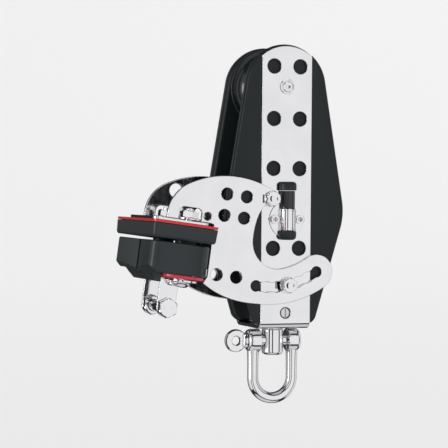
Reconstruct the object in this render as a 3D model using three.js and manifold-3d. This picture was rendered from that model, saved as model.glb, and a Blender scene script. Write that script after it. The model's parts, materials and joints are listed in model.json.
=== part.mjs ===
// Fiddle block with a ratchet sheave, an adjustable cam cleat arm and a swivel shackle.
// Millimetres, +Z up. The origin is the inside of the shackle's crown, where the block is made fast.
// X runs across the straps, Y along the sheave axles; the near side, with the ratchet switch, is -Y.
import * as THREE from 'three';
import { mergeVertices } from 'three/addons/utils/BufferGeometryUtils.js';
import Module from 'manifold-3d';

const wasm = await Module();
wasm.setup();

const DEG = Math.PI / 180;
const GAP = 0.3;
const NEAR = -1;
const FAR = 1;

// Sides of a small round, of a middling one and of a large one
const SMALL_ROUND = 10;
const ROUND = 16;
const LARGE_ROUND = 28;

// Shackle and swivel
const SHACKLE_ROD = 8;
const SHACKLE_SPAN = 30;
const PIN_Z = 38;
const PIN_RADIUS = 4;
const EYE_RADIUS = 8.3;
const EYE_INNER_X = 10.6;
const EYE_OUTER_X = 20;
const EYE_FACE_RADIUS = 6.4;
const POST_RADIUS = 7.8;
const STEM_RADIUS = 5;

// Sheaves and axles
const HUB_Z = 125.8;
const AXLE_SPACING = 94;
const UPPER_SHEAVE_RADIUS = 28.5;
const RATCHET_SHEAVE_RADIUS = 37.5;
const SHEAVE_WIDTH = 30.8;
const GROOVE_HALF_WIDTH = 12.9;
const GROOVE_DEPTH = 10;
const UPPER_AXLE_RADIUS = 4.5;
const HUB_CORE_RADIUS = 14;
const RATCHET_TEETH = 24;

// Cheeks, straps and head
const CHEEK_INNER = 15.9;
const CORE_HALF = CHEEK_INNER - GAP;
const CHEEK_OUTER = 24.8;
const CHEEK_TOP_RADIUS = 30.4;
const CHEEK_HUB_RADIUS = 44.8;
const CHEEK_HUB_RISE = 6;
const CHEEK_LOWER_TAPER = 16.5 * DEG;
const CHEEK_CORNER = 8;
const CHEEK_BOTTOM = -75.2;
const STRAP_HALF = 19;
const STRAP_THICKNESS = 2.5;
const STRAP_OUTER = 25;
const STRAP_INNER = STRAP_OUTER - STRAP_THICKNESS;
const STRAP_TOP_RADIUS = 29;
const STRAP_BEND_INNER = 3.5;
const STRAP_HOLE_RADIUS = 5.25;
const STRAP_HOLE_X = 9.9;
const STRAP_HOLE_ROWS = [108.5, 71.4, 36.1, -20.6];
const SET_SCREW_Z = -66.6;

// Ratchet switch on the near strap
const SWITCH_Y = -27.5;
const SWITCH_ROD_RADIUS = 5.1;
const SWITCH_KNOB_RADIUS = 6.2;
const HUB_SCREW_X = 9.5;
const SWITCH_TRAVEL = 8;

// Cam arm
const PIVOT_X = -12.4;
const PIVOT_RISE = 14.6;
const ARM_TILT = 7.6 * DEG;
const ARM_INNER = 25.4;
const ARM_OUTER = 27.9;
const SLOT_RADIUS = 62.6;
const SLOT_MIDDLE = 19.3 * DEG;
const SLOT_HALF_ANGLE = 22.1 * DEG;
const SLOT_NOTCHES = 7;
const ADJUSTING_BOLT_RADIUS = 2.8;
const ARM_FOOT_Z = -23.3;

// Cam cleat, in its own frame: the top of the base is z = 0 and the cams hang below it
const CLEAT_X = -66.3;
const CLEAT_Z = -27.2;
const CLEAT_HALF_LENGTH = 46;
const CLEAT_HALF_WIDTH = 23.5;
const CLEAT_BASE_X = 0.6;
const CLEAT_BASE_TOP = -0.8;
const CLEAT_BASE_BOTTOM = -10.8;
const CLEAT_PLATE = [-0.5, 1.3];
const CLEAT_PLATFORM = [1.6, 3.6];
const CAM_SCREW_END = 12.2;
const CAM_X = 8;
const CAM_Y = 25.5;
const CAM_TOP = -13;
const CAM_BOTTOM = -34.3;
const CAM_FOOT = -41;
const CAM_RING_RADIUS = 15.4;
const CAM_RING_BOTTOM = -37.2;
const CAM_SCREW_RADIUS = 3;
const CAM_SCREW_HOLE = 3.4;
const CAM_SCREW_HEAD = 7;
const CAM_BORE = 8;
const CAM_BOSS_RADIUS = 7.6;
const CAM_BOSS_BOTTOM = -36.2;
const CAM_NUT_FLANGE = 7.8;
const CAM_NUT_FLATS = 11.6;
const GUARD_X = 2.4;
const GUARD_HALF = 6.8;
const GUARD_TOP = -37.6;
const GUARD_THICKNESS = 1.7;
const GUARD_LEG = [16.4, 18.1];
const GUARD_BOLT_Z = -58.6;
const GUARD_EAR_RADIUS = 10;
const GUARD_BOLT_RADIUS = 4;
const GUARD_HEX_FLATS = 12.6;

const MATERIALS = {
  steel: { color: 0xdcdde2, roughness: 0.16, metalness: 1 },
  brushed: { color: 0xc6c8cc, roughness: 0.34, metalness: 1 },
  black: { color: 0x2a2e30, roughness: 0.5, metalness: 0 },
  glossBlack: { color: 0x101214, roughness: 0.2, metalness: 0 },
  alloy: { color: 0x3a4042, roughness: 0.42, metalness: 0.35 },
  red: { color: 0xd03a40, roughness: 0.4, metalness: 0.1 },
  bronze: { color: 0xa98a55, roughness: 0.4, metalness: 1 },
  white: { color: 0xe4e2da, roughness: 0.5, metalness: 0 },
};

// ---------------------------------------------------------------- solids

function solid(geometry) {
  const bare = geometry.clone();
  bare.deleteAttribute('normal');
  bare.deleteAttribute('uv');
  const merged = mergeVertices(bare, 1e-4);
  const corners = merged.index.array;
  const triangles = [];
  for (let i = 0; i < corners.length; i += 3) {
    const [a, b, c] = [corners[i], corners[i + 1], corners[i + 2]];
    if (a !== b && b !== c && c !== a) triangles.push(a, b, c);
  }
  const points = merged.attributes.position;
  const [a, b, c] = [new THREE.Vector3(), new THREE.Vector3(), new THREE.Vector3()];
  let volume = 0;
  for (let i = 0; i < triangles.length; i += 3) {
    a.fromBufferAttribute(points, triangles[i]);
    b.fromBufferAttribute(points, triangles[i + 1]);
    c.fromBufferAttribute(points, triangles[i + 2]);
    volume += a.dot(b.cross(c));
  }
  if (volume < 0) triangles.reverse();
  return new wasm.Manifold(new wasm.Mesh({
    numProp: 3,
    vertProperties: Float32Array.from(points.array),
    triVerts: Uint32Array.from(triangles),
  }));
}

const cut = (body, ...tools) => tools.reduce((rest, tool) => rest.subtract(tool), body);
const join = (body, ...others) => others.reduce((sum, other) => sum.add(other), body);

function addPart(group, name, body, material) {
  const { vertProperties, triVerts } = body.getMesh();
  const geometry = new THREE.BufferGeometry();
  geometry.setAttribute('position', new THREE.BufferAttribute(vertProperties, 3));
  geometry.setIndex(new THREE.BufferAttribute(triVerts, 1));
  geometry.computeVertexNormals();
  const mesh = new THREE.Mesh(geometry, new THREE.MeshStandardMaterial(MATERIALS[material]));
  mesh.name = name;
  group.add(mesh);
}

// ---------------------------------------------------------------- shapes

function box(x0, x1, y0, y1, z0, z1) {
  const geometry = new THREE.BoxGeometry(x1 - x0, y1 - y0, z1 - z0);
  geometry.translate((x0 + x1) / 2, (y0 + y1) / 2, (z0 + z1) / 2);
  return solid(geometry);
}

function rodY(radius, y0, y1, x = 0, z = 0, sides = ROUND) {
  const geometry = new THREE.CylinderGeometry(radius, radius, y1 - y0, sides);
  geometry.translate(x, (y0 + y1) / 2, z);
  return solid(geometry);
}

function rodX(radius, x0, x1, y = 0, z = 0, sides = ROUND) {
  const geometry = new THREE.CylinderGeometry(radius, radius, x1 - x0, sides);
  geometry.rotateZ(90 * DEG);
  geometry.translate((x0 + x1) / 2, y, z);
  return solid(geometry);
}

// A cone along X from one radius to another
function coneX(radius0, radius1, x0, x1, z = 0, sides = LARGE_ROUND) {
  const geometry = new THREE.CylinderGeometry(radius0, radius1, x1 - x0, sides);
  geometry.rotateZ(90 * DEG);
  geometry.translate((x0 + x1) / 2, 0, z);
  return solid(geometry);
}

function rodZ(radius, z0, z1, x = 0, y = 0, sides = ROUND) {
  const geometry = new THREE.CylinderGeometry(radius, radius, z1 - z0, sides);
  geometry.rotateX(90 * DEG);
  geometry.translate(x, y, (z0 + z1) / 2);
  return solid(geometry);
}

// A hexagon across Y or Z, with its corners up and down (Y) or along Y (Z) and the given flats
function hexY(flats, y0, y1, x = 0, z = 0) {
  return rodY(flats / Math.sqrt(3), y0, y1, x, z, 6);
}

function hexZ(flats, z0, z1, x = 0, y = 0) {
  return rodZ(flats / Math.sqrt(3), z0, z1, x, y, 6);
}

// A shape drawn in x and z, as a plate from y0 to y1
function plateY(shape, y0, y1, segments = 6, bevel = 0) {
  const geometry = new THREE.ExtrudeGeometry(shape, {
    depth: y1 - y0 - 2 * bevel,
    curveSegments: segments,
    bevelEnabled: bevel > 0,
    bevelThickness: bevel,
    bevelSize: bevel,
    bevelOffset: -bevel,
    bevelSegments: 1,
  });
  geometry.applyMatrix4(new THREE.Matrix4().set(1, 0, 0, 0, 0, 0, -1, y1 - bevel, 0, 1, 0, 0, 0, 0, 0, 1));
  return solid(geometry);
}

// A shape drawn in x and y, as a plate from z0 to z1
function plateZ(shape, z0, z1, segments = 5) {
  const geometry = new THREE.ExtrudeGeometry(shape, {
    depth: z1 - z0,
    curveSegments: segments,
    bevelEnabled: false,
  });
  geometry.translate(0, 0, z0);
  return solid(geometry);
}

// A section drawn in y and z, run from x0 to x1
function runX(shape, x0, x1, segments = 3) {
  const geometry = new THREE.ExtrudeGeometry(shape, {
    depth: x1 - x0,
    curveSegments: segments,
    bevelEnabled: false,
  });
  geometry.applyMatrix4(new THREE.Matrix4().set(0, 0, 1, x0, 1, 0, 0, 0, 0, 1, 0, 0, 0, 0, 0, 1));
  return solid(geometry);
}

// A closed profile of [radius, y] points, turned about the Y axis
function turnY(profile, sides = LARGE_ROUND) {
  const points = profile.map(([radius, y]) => new THREE.Vector2(radius, y));
  points.push(points[0].clone());
  return new THREE.LatheGeometry(points, sides);
}

function circleShape(radius, x = 0, y = 0) {
  const shape = new THREE.Shape();
  shape.absarc(x, y, radius, 0, 2 * Math.PI);
  return shape;
}

function roundedRectangle(halfX, halfY, corner, x = 0, y = 0) {
  const shape = new THREE.Shape();
  shape.absarc(x + halfX - corner, y - halfY + corner, corner, -90 * DEG, 0);
  shape.absarc(x + halfX - corner, y + halfY - corner, corner, 0, 90 * DEG);
  shape.absarc(x - halfX + corner, y + halfY - corner, corner, 90 * DEG, 180 * DEG);
  shape.absarc(x - halfX + corner, y - halfY + corner, corner, 180 * DEG, 270 * DEG);
  shape.closePath();
  return shape;
}

// The low and high end of a stretch that lies between two distances from the middle plane, on one side
function span(side, inner, outer) {
  return side === NEAR ? [-outer, -inner] : [inner, outer];
}

// ---------------------------------------------------------------- cheeks and straps

function cheekShape() {
  const taper = Math.asin((CHEEK_HUB_RADIUS - CHEEK_TOP_RADIUS) / (AXLE_SPACING - CHEEK_HUB_RISE));
  const cornerZ = CHEEK_BOTTOM + CHEEK_CORNER;
  const reach = CHEEK_HUB_RADIUS - CHEEK_CORNER + (cornerZ - CHEEK_HUB_RISE) * Math.sin(CHEEK_LOWER_TAPER);
  const cornerX = reach / Math.cos(CHEEK_LOWER_TAPER);
  const shape = new THREE.Shape();
  shape.absarc(cornerX, cornerZ, CHEEK_CORNER, -90 * DEG, -CHEEK_LOWER_TAPER);
  shape.absarc(0, CHEEK_HUB_RISE, CHEEK_HUB_RADIUS, -CHEEK_LOWER_TAPER, taper);
  shape.absarc(0, AXLE_SPACING, CHEEK_TOP_RADIUS, taper, Math.PI - taper);
  shape.absarc(0, CHEEK_HUB_RISE, CHEEK_HUB_RADIUS, Math.PI - taper, Math.PI + CHEEK_LOWER_TAPER);
  shape.absarc(-cornerX, cornerZ, CHEEK_CORNER, Math.PI + CHEEK_LOWER_TAPER, 270 * DEG);
  shape.closePath();
  return shape;
}

// The channel that a strap lies in: open outwards, rounded to the strap's bend at its foot
function strapChannel(side) {
  const half = STRAP_HALF + GAP;
  const floor = STRAP_INNER - GAP;
  const bendY = STRAP_INNER - STRAP_BEND_INNER;
  const bendZ = CHEEK_BOTTOM - GAP + STRAP_BEND_INNER;
  const face = box(-half, half, ...span(side, floor, STRAP_OUTER + 5), CHEEK_BOTTOM - 5, AXLE_SPACING + 40);
  const foot = box(-half, half, ...span(side, bendY, floor + 1), CHEEK_BOTTOM - 1, bendZ);
  const bend = rodX(STRAP_BEND_INNER - GAP, -half - 1, half + 1, side * bendY, bendZ);
  return join(face, cut(foot, bend));
}

function boltHoles(side) {
  const reach = span(side, CHEEK_INNER - 5, STRAP_OUTER + 5);
  return [
    rodY(UPPER_AXLE_RADIUS + GAP, ...reach, 0, AXLE_SPACING),
    rodY(2.3, ...reach, -HUB_SCREW_X, 0, SMALL_ROUND),
    rodY(2.3, ...reach, HUB_SCREW_X, 0, SMALL_ROUND),
    rodY(3.3, ...reach, PIVOT_X, PIVOT_RISE, SMALL_ROUND),
    rodY(ADJUSTING_BOLT_RADIUS + GAP, ...reach, ...adjustingBoltPlace(), SMALL_ROUND),
    rodY(4, ...reach, 0, SET_SCREW_Z),
  ];
}

// Where the adjusting bolt stands, from the hub: on the slot's circle, in its middle at rest
function adjustingBoltPlace() {
  const fromDown = SLOT_MIDDLE - ARM_TILT;
  return [
    PIVOT_X + SLOT_RADIUS * Math.sin(fromDown),
    PIVOT_RISE - SLOT_RADIUS * Math.cos(fromDown),
  ];
}

const switchSlot = () => box(-2.3, 2.3, -STRAP_OUTER - 5, -CHEEK_INNER + 5, 1 - SWITCH_TRAVEL, 6.4);

function cheek(side) {
  const blank = plateY(cheekShape(), ...span(side, CHEEK_INNER, CHEEK_OUTER), 7, 1.8);
  const body = cut(blank, strapChannel(side), ...boltHoles(side));
  return side === NEAR ? cut(body, switchSlot()) : body;
}

function strap(side) {
  const bendY = STRAP_INNER - STRAP_BEND_INNER;
  const bendZ = CHEEK_BOTTOM - GAP + STRAP_BEND_INNER;
  const bendOuter = STRAP_BEND_INNER + STRAP_THICKNESS;
  const topZ = AXLE_SPACING + STRAP_TOP_RADIUS + 1;
  const section = new THREE.Shape();
  section.moveTo(GAP, bendZ - bendOuter);
  section.lineTo(bendY, bendZ - bendOuter);
  section.absarc(bendY, bendZ, bendOuter, -90 * DEG, 0);
  section.lineTo(STRAP_OUTER, topZ);
  section.lineTo(STRAP_INNER, topZ);
  section.lineTo(STRAP_INNER, bendZ);
  section.absarc(bendY, bendZ, STRAP_BEND_INNER, 0, -90 * DEG, true);
  section.lineTo(GAP, bendZ - STRAP_BEND_INNER);
  section.closePath();
  const farStrip = runX(section, -STRAP_HALF, STRAP_HALF);
  const strip = side === FAR ? farStrip : farStrip.rotate([0, 0, 180]);

  const roundTop = new THREE.Shape();
  const shoulder = Math.acos(STRAP_HALF / STRAP_TOP_RADIUS);
  roundTop.moveTo(-STRAP_HALF - 1, CHEEK_BOTTOM - 10);
  roundTop.lineTo(STRAP_HALF + 1, CHEEK_BOTTOM - 10);
  roundTop.lineTo(STRAP_HALF + 1, AXLE_SPACING);
  roundTop.absarc(0, AXLE_SPACING, STRAP_TOP_RADIUS, shoulder / 2, Math.PI - shoulder / 2);
  roundTop.lineTo(-STRAP_HALF - 1, AXLE_SPACING);
  roundTop.closePath();
  const blank = strip.intersect(plateY(roundTop, -STRAP_OUTER - 1, STRAP_OUTER + 1, 10));

  const reach = span(side, STRAP_INNER - 5, STRAP_OUTER + 5);
  const holes = STRAP_HOLE_ROWS.flatMap((z) => [
    rodY(STRAP_HOLE_RADIUS, ...reach, -STRAP_HOLE_X, z),
    rodY(STRAP_HOLE_RADIUS, ...reach, STRAP_HOLE_X, z),
  ]);
  const postNotch = rodZ(STEM_RADIUS + 0.6, CHEEK_BOTTOM - 10, CHEEK_BOTTOM + 2);
  const body = cut(blank, ...holes, ...boltHoles(side), postNotch);
  return side === NEAR ? cut(body, switchSlot()) : body;
}

// ---------------------------------------------------------------- sheaves

function sheaveProfile(radius, bore) {
  const half = SHEAVE_WIDTH / 2;
  const profile = [[bore, -half], [radius - 0.8, -half], [radius, -half + 0.8]];
  const arcSteps = 7;
  for (let i = 0; i <= arcSteps; i += 1) {
    const angle = (i / arcSteps) * Math.PI;
    profile.push([radius - GROOVE_DEPTH * Math.sin(angle), -GROOVE_HALF_WIDTH * Math.cos(angle)]);
  }
  profile.push([radius, half - 0.8], [radius - 0.8, half], [bore, half]);
  return profile;
}

// The rope grip of the ratchet sheave: the floor of its groove is flattened into eight sides
function facetGroove(geometry, radius) {
  const sides = 8;
  const pitch = (2 * Math.PI) / sides;
  const points = geometry.attributes.position;
  for (let i = 0; i < points.count; i += 1) {
    const x = points.getX(i);
    const z = points.getZ(i);
    const r = Math.hypot(x, z);
    const depth = (radius - r) / GROOVE_DEPTH;
    if (depth > 0.1 && depth < 1.05) {
      const angle = Math.atan2(z, x) + 2 * Math.PI;
      const facet = Math.cos(pitch / 2) / Math.cos((angle % pitch) - pitch / 2);
      const scale = 1 - 0.5 * depth * (1 - facet);
      points.setX(i, x * scale);
      points.setZ(i, z * scale);
    }
  }
  return geometry;
}

// A bearing ring whose outer edge is rippled into rollers
function bearingRing(inner, outer, rollers, y0, y1) {
  const shape = new THREE.Shape();
  const steps = rollers * 3;
  for (let i = 0; i < steps; i += 1) {
    const angle = (i / steps) * 2 * Math.PI;
    const radius = outer - 0.35 * (1 - Math.cos(rollers * angle));
    const [x, z] = [radius * Math.cos(angle), radius * Math.sin(angle)];
    if (i === 0) shape.moveTo(x, z);
    else shape.lineTo(x, z);
  }
  shape.closePath();
  shape.holes.push(circleShape(inner));
  return plateY(shape, y0, y1, 8);
}

const RATCHET_RING = { outer: 25.6, root: 20.9, tip: 17.4, y0: -15.1, y1: -10.1 };
const STEEP_FACE = 8.5 * DEG;

// Inside teeth with a steep face and a ramp; the pawl drops in beside the steep face at the bottom
function ratchetRing() {
  const { outer, root, tip, y0, y1 } = RATCHET_RING;
  const pitch = (2 * Math.PI) / RATCHET_TEETH;
  const teeth = new THREE.Path();
  for (let i = 0; i < RATCHET_TEETH; i += 1) {
    const angle = -90 * DEG + STEEP_FACE + i * pitch;
    const ramp = angle + pitch - 0.3 * DEG;
    if (i === 0) teeth.moveTo(tip * Math.cos(angle), tip * Math.sin(angle));
    else teeth.lineTo(tip * Math.cos(angle), tip * Math.sin(angle));
    teeth.lineTo(root * Math.cos(ramp), root * Math.sin(ramp));
  }
  teeth.closePath();
  const shape = circleShape(outer);
  shape.holes.push(teeth);
  return plateY(shape, y0, y1, 12);
}

// ---------------------------------------------------------------- fasteners

// A hexagon-headed bolt along Y with a round flange under its head. `side` is where the head is, and
// the shank ends at a distance from the middle plane that is negative beyond it.
function hexBoltY(side, flats, head, flange, shank, place) {
  return join(
    hexY(flats, ...span(side, ...head), ...place),
    rodY(flange.radius, ...span(side, flange.face, head[0] + 0.2), ...place),
    rodY(shank.radius, ...span(side, shank.end, flange.face + 0.2), ...place, SMALL_ROUND),
  );
}

function socketScrewY(side, radius, head, shankRadius, shankEnd, place, socket) {
  const body = join(
    rodY(radius, ...span(side, ...head), ...place),
    rodY(shankRadius, ...span(side, shankEnd, head[0] + 0.2), ...place, SMALL_ROUND),
  );
  return cut(body, hexY(socket, ...span(side, head[1] - 1.6, head[1] + 1), ...place));
}

function ringPlateY(radius, hole, y0, y1, place) {
  return cut(rodY(radius, y0, y1, ...place), rodY(hole, y0 - 1, y1 + 1, ...place, SMALL_ROUND));
}

// ---------------------------------------------------------------- the block

const assembly = new THREE.Group();
const block = new THREE.Group();
block.position.z = HUB_Z;
assembly.add(block);

const pivotPlace = [PIVOT_X, PIVOT_RISE];

for (const [side, word] of [[NEAR, 'near'], [FAR, 'far']]) {
  addPart(block, `${word}_cheek`, cheek(side), 'black');
  addPart(block, `${word}_strap`, strap(side), 'steel');
  addPart(
    block,
    `${word}_set_screw`,
    cut(
      rodY(3.6, ...span(side, 8, 24.6), 0, SET_SCREW_Z),
      box(-0.5, 0.5, ...span(side, 23.6, 26), SET_SCREW_Z - 5, SET_SCREW_Z + 5),
    ),
    'brushed',
  );
  addPart(
    block,
    `${word}_pivot_bolt`,
    hexBoltY(side, 10, [29.2, 33.2], { radius: 5.5, face: 28.2 }, { radius: 2.9, end: 17.6 }, pivotPlace),
    'steel',
  );
  addPart(
    block,
    `${word}_axle_screw`,
    socketScrewY(side, 5.4, [25.3, 26.8], 2.4, 21.5, [0, AXLE_SPACING], 3),
    'steel',
  );
}

function headBlock() {
  const body = box(-13, 13, -CORE_HALF, CORE_HALF, CHEEK_BOTTOM, -59);
  const bore = rodZ(STEM_RADIUS + GAP, CHEEK_BOTTOM - 1, -58);
  const screwHole = rodY(3.9, -CORE_HALF - 1, CORE_HALF + 1, 0, SET_SCREW_Z);
  return cut(body, bore, screwHole);
}

addPart(block, 'head_block', headBlock(), 'brushed');

function upperAxle() {
  const tapping = rodY(2.7, 21, 26, 0, AXLE_SPACING, SMALL_ROUND);
  const otherTapping = rodY(2.7, -26, -21, 0, AXLE_SPACING, SMALL_ROUND);
  return cut(rodY(UPPER_AXLE_RADIUS, -24.7, 24.7, 0, AXLE_SPACING), tapping, otherTapping);
}

addPart(block, 'upper_axle', upperAxle(), 'brushed');

function hubCore() {
  const disc = rodY(HUB_CORE_RADIUS, -CORE_HALF, CORE_HALF, 0, 0, LARGE_ROUND);
  const pawlSlot = box(-2.6, 2.6, -CORE_HALF - 0.2, -10.6, -15, 10);
  return cut(disc, pawlSlot);
}

addPart(block, 'hub_core', hubCore(), 'brushed');

for (const [side, word] of [[NEAR, 'near'], [FAR, 'far']]) {
  for (const [x, end] of [[-HUB_SCREW_X, 'left'], [HUB_SCREW_X, 'right']]) {
    addPart(
      block,
      `${word}_hub_screw_${end}`,
      socketScrewY(side, 3.2, [26.3, 28.6], 2, 16.5, [x, 0], 2.6),
      'steel',
    );
  }
}

// A round plate over the hub, against the strap
function hubPlate(side) {
  const disc = rodY(13, ...span(side, 25.3, 26), 0, 0, LARGE_ROUND);
  return cut(disc, ...[-HUB_SCREW_X, HUB_SCREW_X].map((x) => rodY(2.3, -30, 30, x, 0, SMALL_ROUND)));
}

// The near plate is bridged by a sleeve that the switch rod slides through
function switchHousing() {
  const sleeve = rodZ(6, -7.9, 7.4, 0, SWITCH_Y, LARGE_ROUND);
  const bore = rodZ(SWITCH_ROD_RADIUS + GAP, -20, 20, 0, SWITCH_Y, LARGE_ROUND);
  const behind = box(-20, 20, -25.3, 0, -20, 20);
  return cut(join(hubPlate(NEAR), sleeve), bore, behind);
}

addPart(block, 'switch_housing', switchHousing(), 'steel');
addPart(block, 'far_hub_plate', hubPlate(FAR), 'steel');

const adjustingPlace = adjustingBoltPlace();
addPart(
  block,
  'adjusting_bolt',
  hexBoltY(
    NEAR,
    10,
    [30.4, 34],
    { radius: 5.2, face: 29.8 },
    { radius: ADJUSTING_BOLT_RADIUS, end: -37 },
    adjustingPlace,
  ),
  'steel',
);
addPart(block, 'adjusting_near_washer', ringPlateY(6, 3.1, -29.5, -28.2, adjustingPlace), 'steel');
addPart(block, 'adjusting_far_washer', ringPlateY(6, 3.1, 28.2, 29.5, adjustingPlace), 'steel');
addPart(
  block,
  'adjusting_nut',
  cut(hexY(10, 29.8, 34.8, ...adjustingPlace), rodY(3.1, 29, 36, ...adjustingPlace, SMALL_ROUND)),
  'steel',
);
addPart(block, 'lower_spacer', ringPlateY(5.6, 3.1, -CORE_HALF, CORE_HALF, adjustingPlace), 'brushed');

// ---------------------------------------------------------------- sheaves in place

const upperSheave = new THREE.Group();
upperSheave.position.z = AXLE_SPACING;
block.add(upperSheave);
addPart(upperSheave, 'upper_sheave', solid(turnY(sheaveProfile(UPPER_SHEAVE_RADIUS, 9))), 'glossBlack');
addPart(upperSheave, 'upper_bearing', bearingRing(UPPER_AXLE_RADIUS + GAP, 8.7, 14, -14.7, 14.7), 'white');

function ratchetSheave() {
  const turned = turnY(sheaveProfile(RATCHET_SHEAVE_RADIUS, 18), 32);
  const ringSeat = rodY(RATCHET_RING.outer + GAP, -SHEAVE_WIDTH, RATCHET_RING.y1 + GAP, 0, 0, 32);
  return cut(solid(facetGroove(turned, RATCHET_SHEAVE_RADIUS)), ringSeat);
}

const ratchetGroup = new THREE.Group();
block.add(ratchetGroup);
addPart(ratchetGroup, 'ratchet_sheave', ratchetSheave(), 'glossBlack');
addPart(ratchetGroup, 'ratchet_ring', ratchetRing(), 'bronze');
addPart(ratchetGroup, 'hub_bearing', bearingRing(HUB_CORE_RADIUS + GAP, 17.7, 18, -9.3, 14.7), 'white');

// ---------------------------------------------------------------- ratchet switch

const ROD_BACK = -STRAP_OUTER - 0.4;
const KNOB_BACK = -STRAP_OUTER - 1.4;

// A round bar along Z with a flat back that slides on the face of the strap
function flatBackedRod(radius, z0, z1, back) {
  const behind = box(-20, 20, back, 0, z0 - 1, z1 + 1);
  return cut(rodZ(radius, z0, z1, 0, SWITCH_Y, LARGE_ROUND), behind);
}

function switchRod() {
  const finger = box(-1.8, 1.8, -STRAP_OUTER - 1.5, -CORE_HALF, 1.4, 6);
  return join(flatBackedRod(SWITCH_ROD_RADIUS, -7.9, 20.2, ROD_BACK), finger);
}

function pawl() {
  const half = 2.2;
  const shape = new THREE.Shape();
  shape.moveTo(half, -19.7 + SWITCH_TRAVEL);
  shape.lineTo(half, 6);
  shape.lineTo(-half, 6);
  shape.lineTo(-half, -16.7 + SWITCH_TRAVEL);
  shape.closePath();
  return plateY(shape, -15.2, -11);
}

const ratchetSwitch = new THREE.Group();
block.add(ratchetSwitch);
addPart(ratchetSwitch, 'switch_rod', switchRod(), 'glossBlack');
const upperKnob = flatBackedRod(SWITCH_KNOB_RADIUS, 20.5, 26.8, KNOB_BACK);
const lowerKnob = flatBackedRod(SWITCH_KNOB_RADIUS, -14.6, -8.2, KNOB_BACK);
addPart(ratchetSwitch, 'switch_upper_knob', upperKnob, 'black');
addPart(ratchetSwitch, 'switch_lower_knob', lowerKnob, 'black');
addPart(ratchetSwitch, 'ratchet_pawl', pawl(), 'bronze');

// ---------------------------------------------------------------- swivel and shackle

const swivel = new THREE.Group();
assembly.add(swivel);
const FLANGE_BOTTOM = HUB_Z + CHEEK_BOTTOM - GAP - STRAP_THICKNESS;

function swivelPost() {
  const body = rodZ(POST_RADIUS, PIN_Z - 10.6, FLANGE_BOTTOM - 1.6, 0, 0, LARGE_ROUND);
  const stem = rodZ(STEM_RADIUS, PIN_Z, HUB_Z - 54.5);
  return cut(join(body, stem), rodX(PIN_RADIUS + GAP, -10, 10, 0, PIN_Z));
}

addPart(swivel, 'swivel_post', swivelPost(), 'steel');
addPart(
  swivel,
  'swivel_washer',
  cut(
    rodZ(POST_RADIUS + 0.6, FLANGE_BOTTOM - 1.3, FLANGE_BOTTOM - GAP),
    rodZ(STEM_RADIUS + GAP, FLANGE_BOTTOM - 3, FLANGE_BOTTOM + 1),
  ),
  'brushed',
);
addPart(
  swivel,
  'swivel_nut',
  cut(hexZ(15, HUB_Z - 58.7, HUB_Z - 54.7), rodZ(STEM_RADIUS + GAP, HUB_Z - 60, HUB_Z - 50)),
  'brushed',
);

// Down one leg, round the crown and up the other
class BowCurve extends THREE.Curve {
  getPoint(t) {
    const radius = SHACKLE_SPAN / 2;
    const crownZ = radius - SHACKLE_ROD / 2;
    const leg = PIN_Z - crownZ;
    const half = Math.PI * radius;
    const travelled = t * (2 * leg + half);
    if (travelled < leg) return new THREE.Vector3(-radius, 0, PIN_Z - travelled);
    if (travelled > leg + half) {
      return new THREE.Vector3(radius, 0, crownZ + travelled - leg - half);
    }
    const angle = Math.PI + (travelled - leg) / radius;
    return new THREE.Vector3(radius * Math.cos(angle), 0, crownZ + radius * Math.sin(angle));
  }
}

function shackleBow() {
  const rod = solid(new THREE.ExtrudeGeometry(circleShape(SHACKLE_ROD / 2), {
    steps: 30,
    curveSegments: 5,
    bevelEnabled: false,
    extrudePath: new BowCurve(),
  }));
  const shoulder = EYE_OUTER_X - 2.6;
  const eyes = [
    rodX(EYE_RADIUS, -shoulder, -EYE_INNER_X, 0, PIN_Z, LARGE_ROUND),
    coneX(EYE_FACE_RADIUS, EYE_RADIUS, -EYE_OUTER_X, -shoulder, PIN_Z),
    rodX(EYE_RADIUS, EYE_INNER_X, shoulder, 0, PIN_Z, LARGE_ROUND),
    coneX(EYE_RADIUS, EYE_FACE_RADIUS, shoulder, EYE_OUTER_X, PIN_Z),
  ];
  return cut(join(rod, ...eyes), rodX(PIN_RADIUS + GAP, -25, 25, 0, PIN_Z));
}

function shacklePin() {
  const headX = -28.4;
  const shank = rodX(PIN_RADIUS, headX + 5, EYE_OUTER_X + 0.3, 0, PIN_Z);
  const collar = rodX(5.6, -22.2, -EYE_OUTER_X - GAP, 0, PIN_Z);
  const disc = rodY(8.2, -2, 2, headX, PIN_Z, LARGE_ROUND);
  const neck = box(headX, -22, -2, 2, PIN_Z - 5.2, PIN_Z + 5.2);
  return cut(join(shank, collar, disc, neck), rodY(3.2, -3, 3, headX, PIN_Z));
}

addPart(assembly, 'shackle_bow', shackleBow(), 'steel');
addPart(assembly, 'shackle_pin', shacklePin(), 'steel');

// ---------------------------------------------------------------- cam arm

const arm = new THREE.Group();
arm.position.set(PIVOT_X, 0, PIVOT_RISE);
arm.rotation.y = ARM_TILT;
block.add(arm);

const polar = (radius, angle, x = 0, y = 0) => [x + radius * Math.cos(angle), y + radius * Math.sin(angle)];

// Half the width of the opening in an arm plate's foot for the nut of a cam screw
const NUT_ARCH = 8.3;

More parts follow.
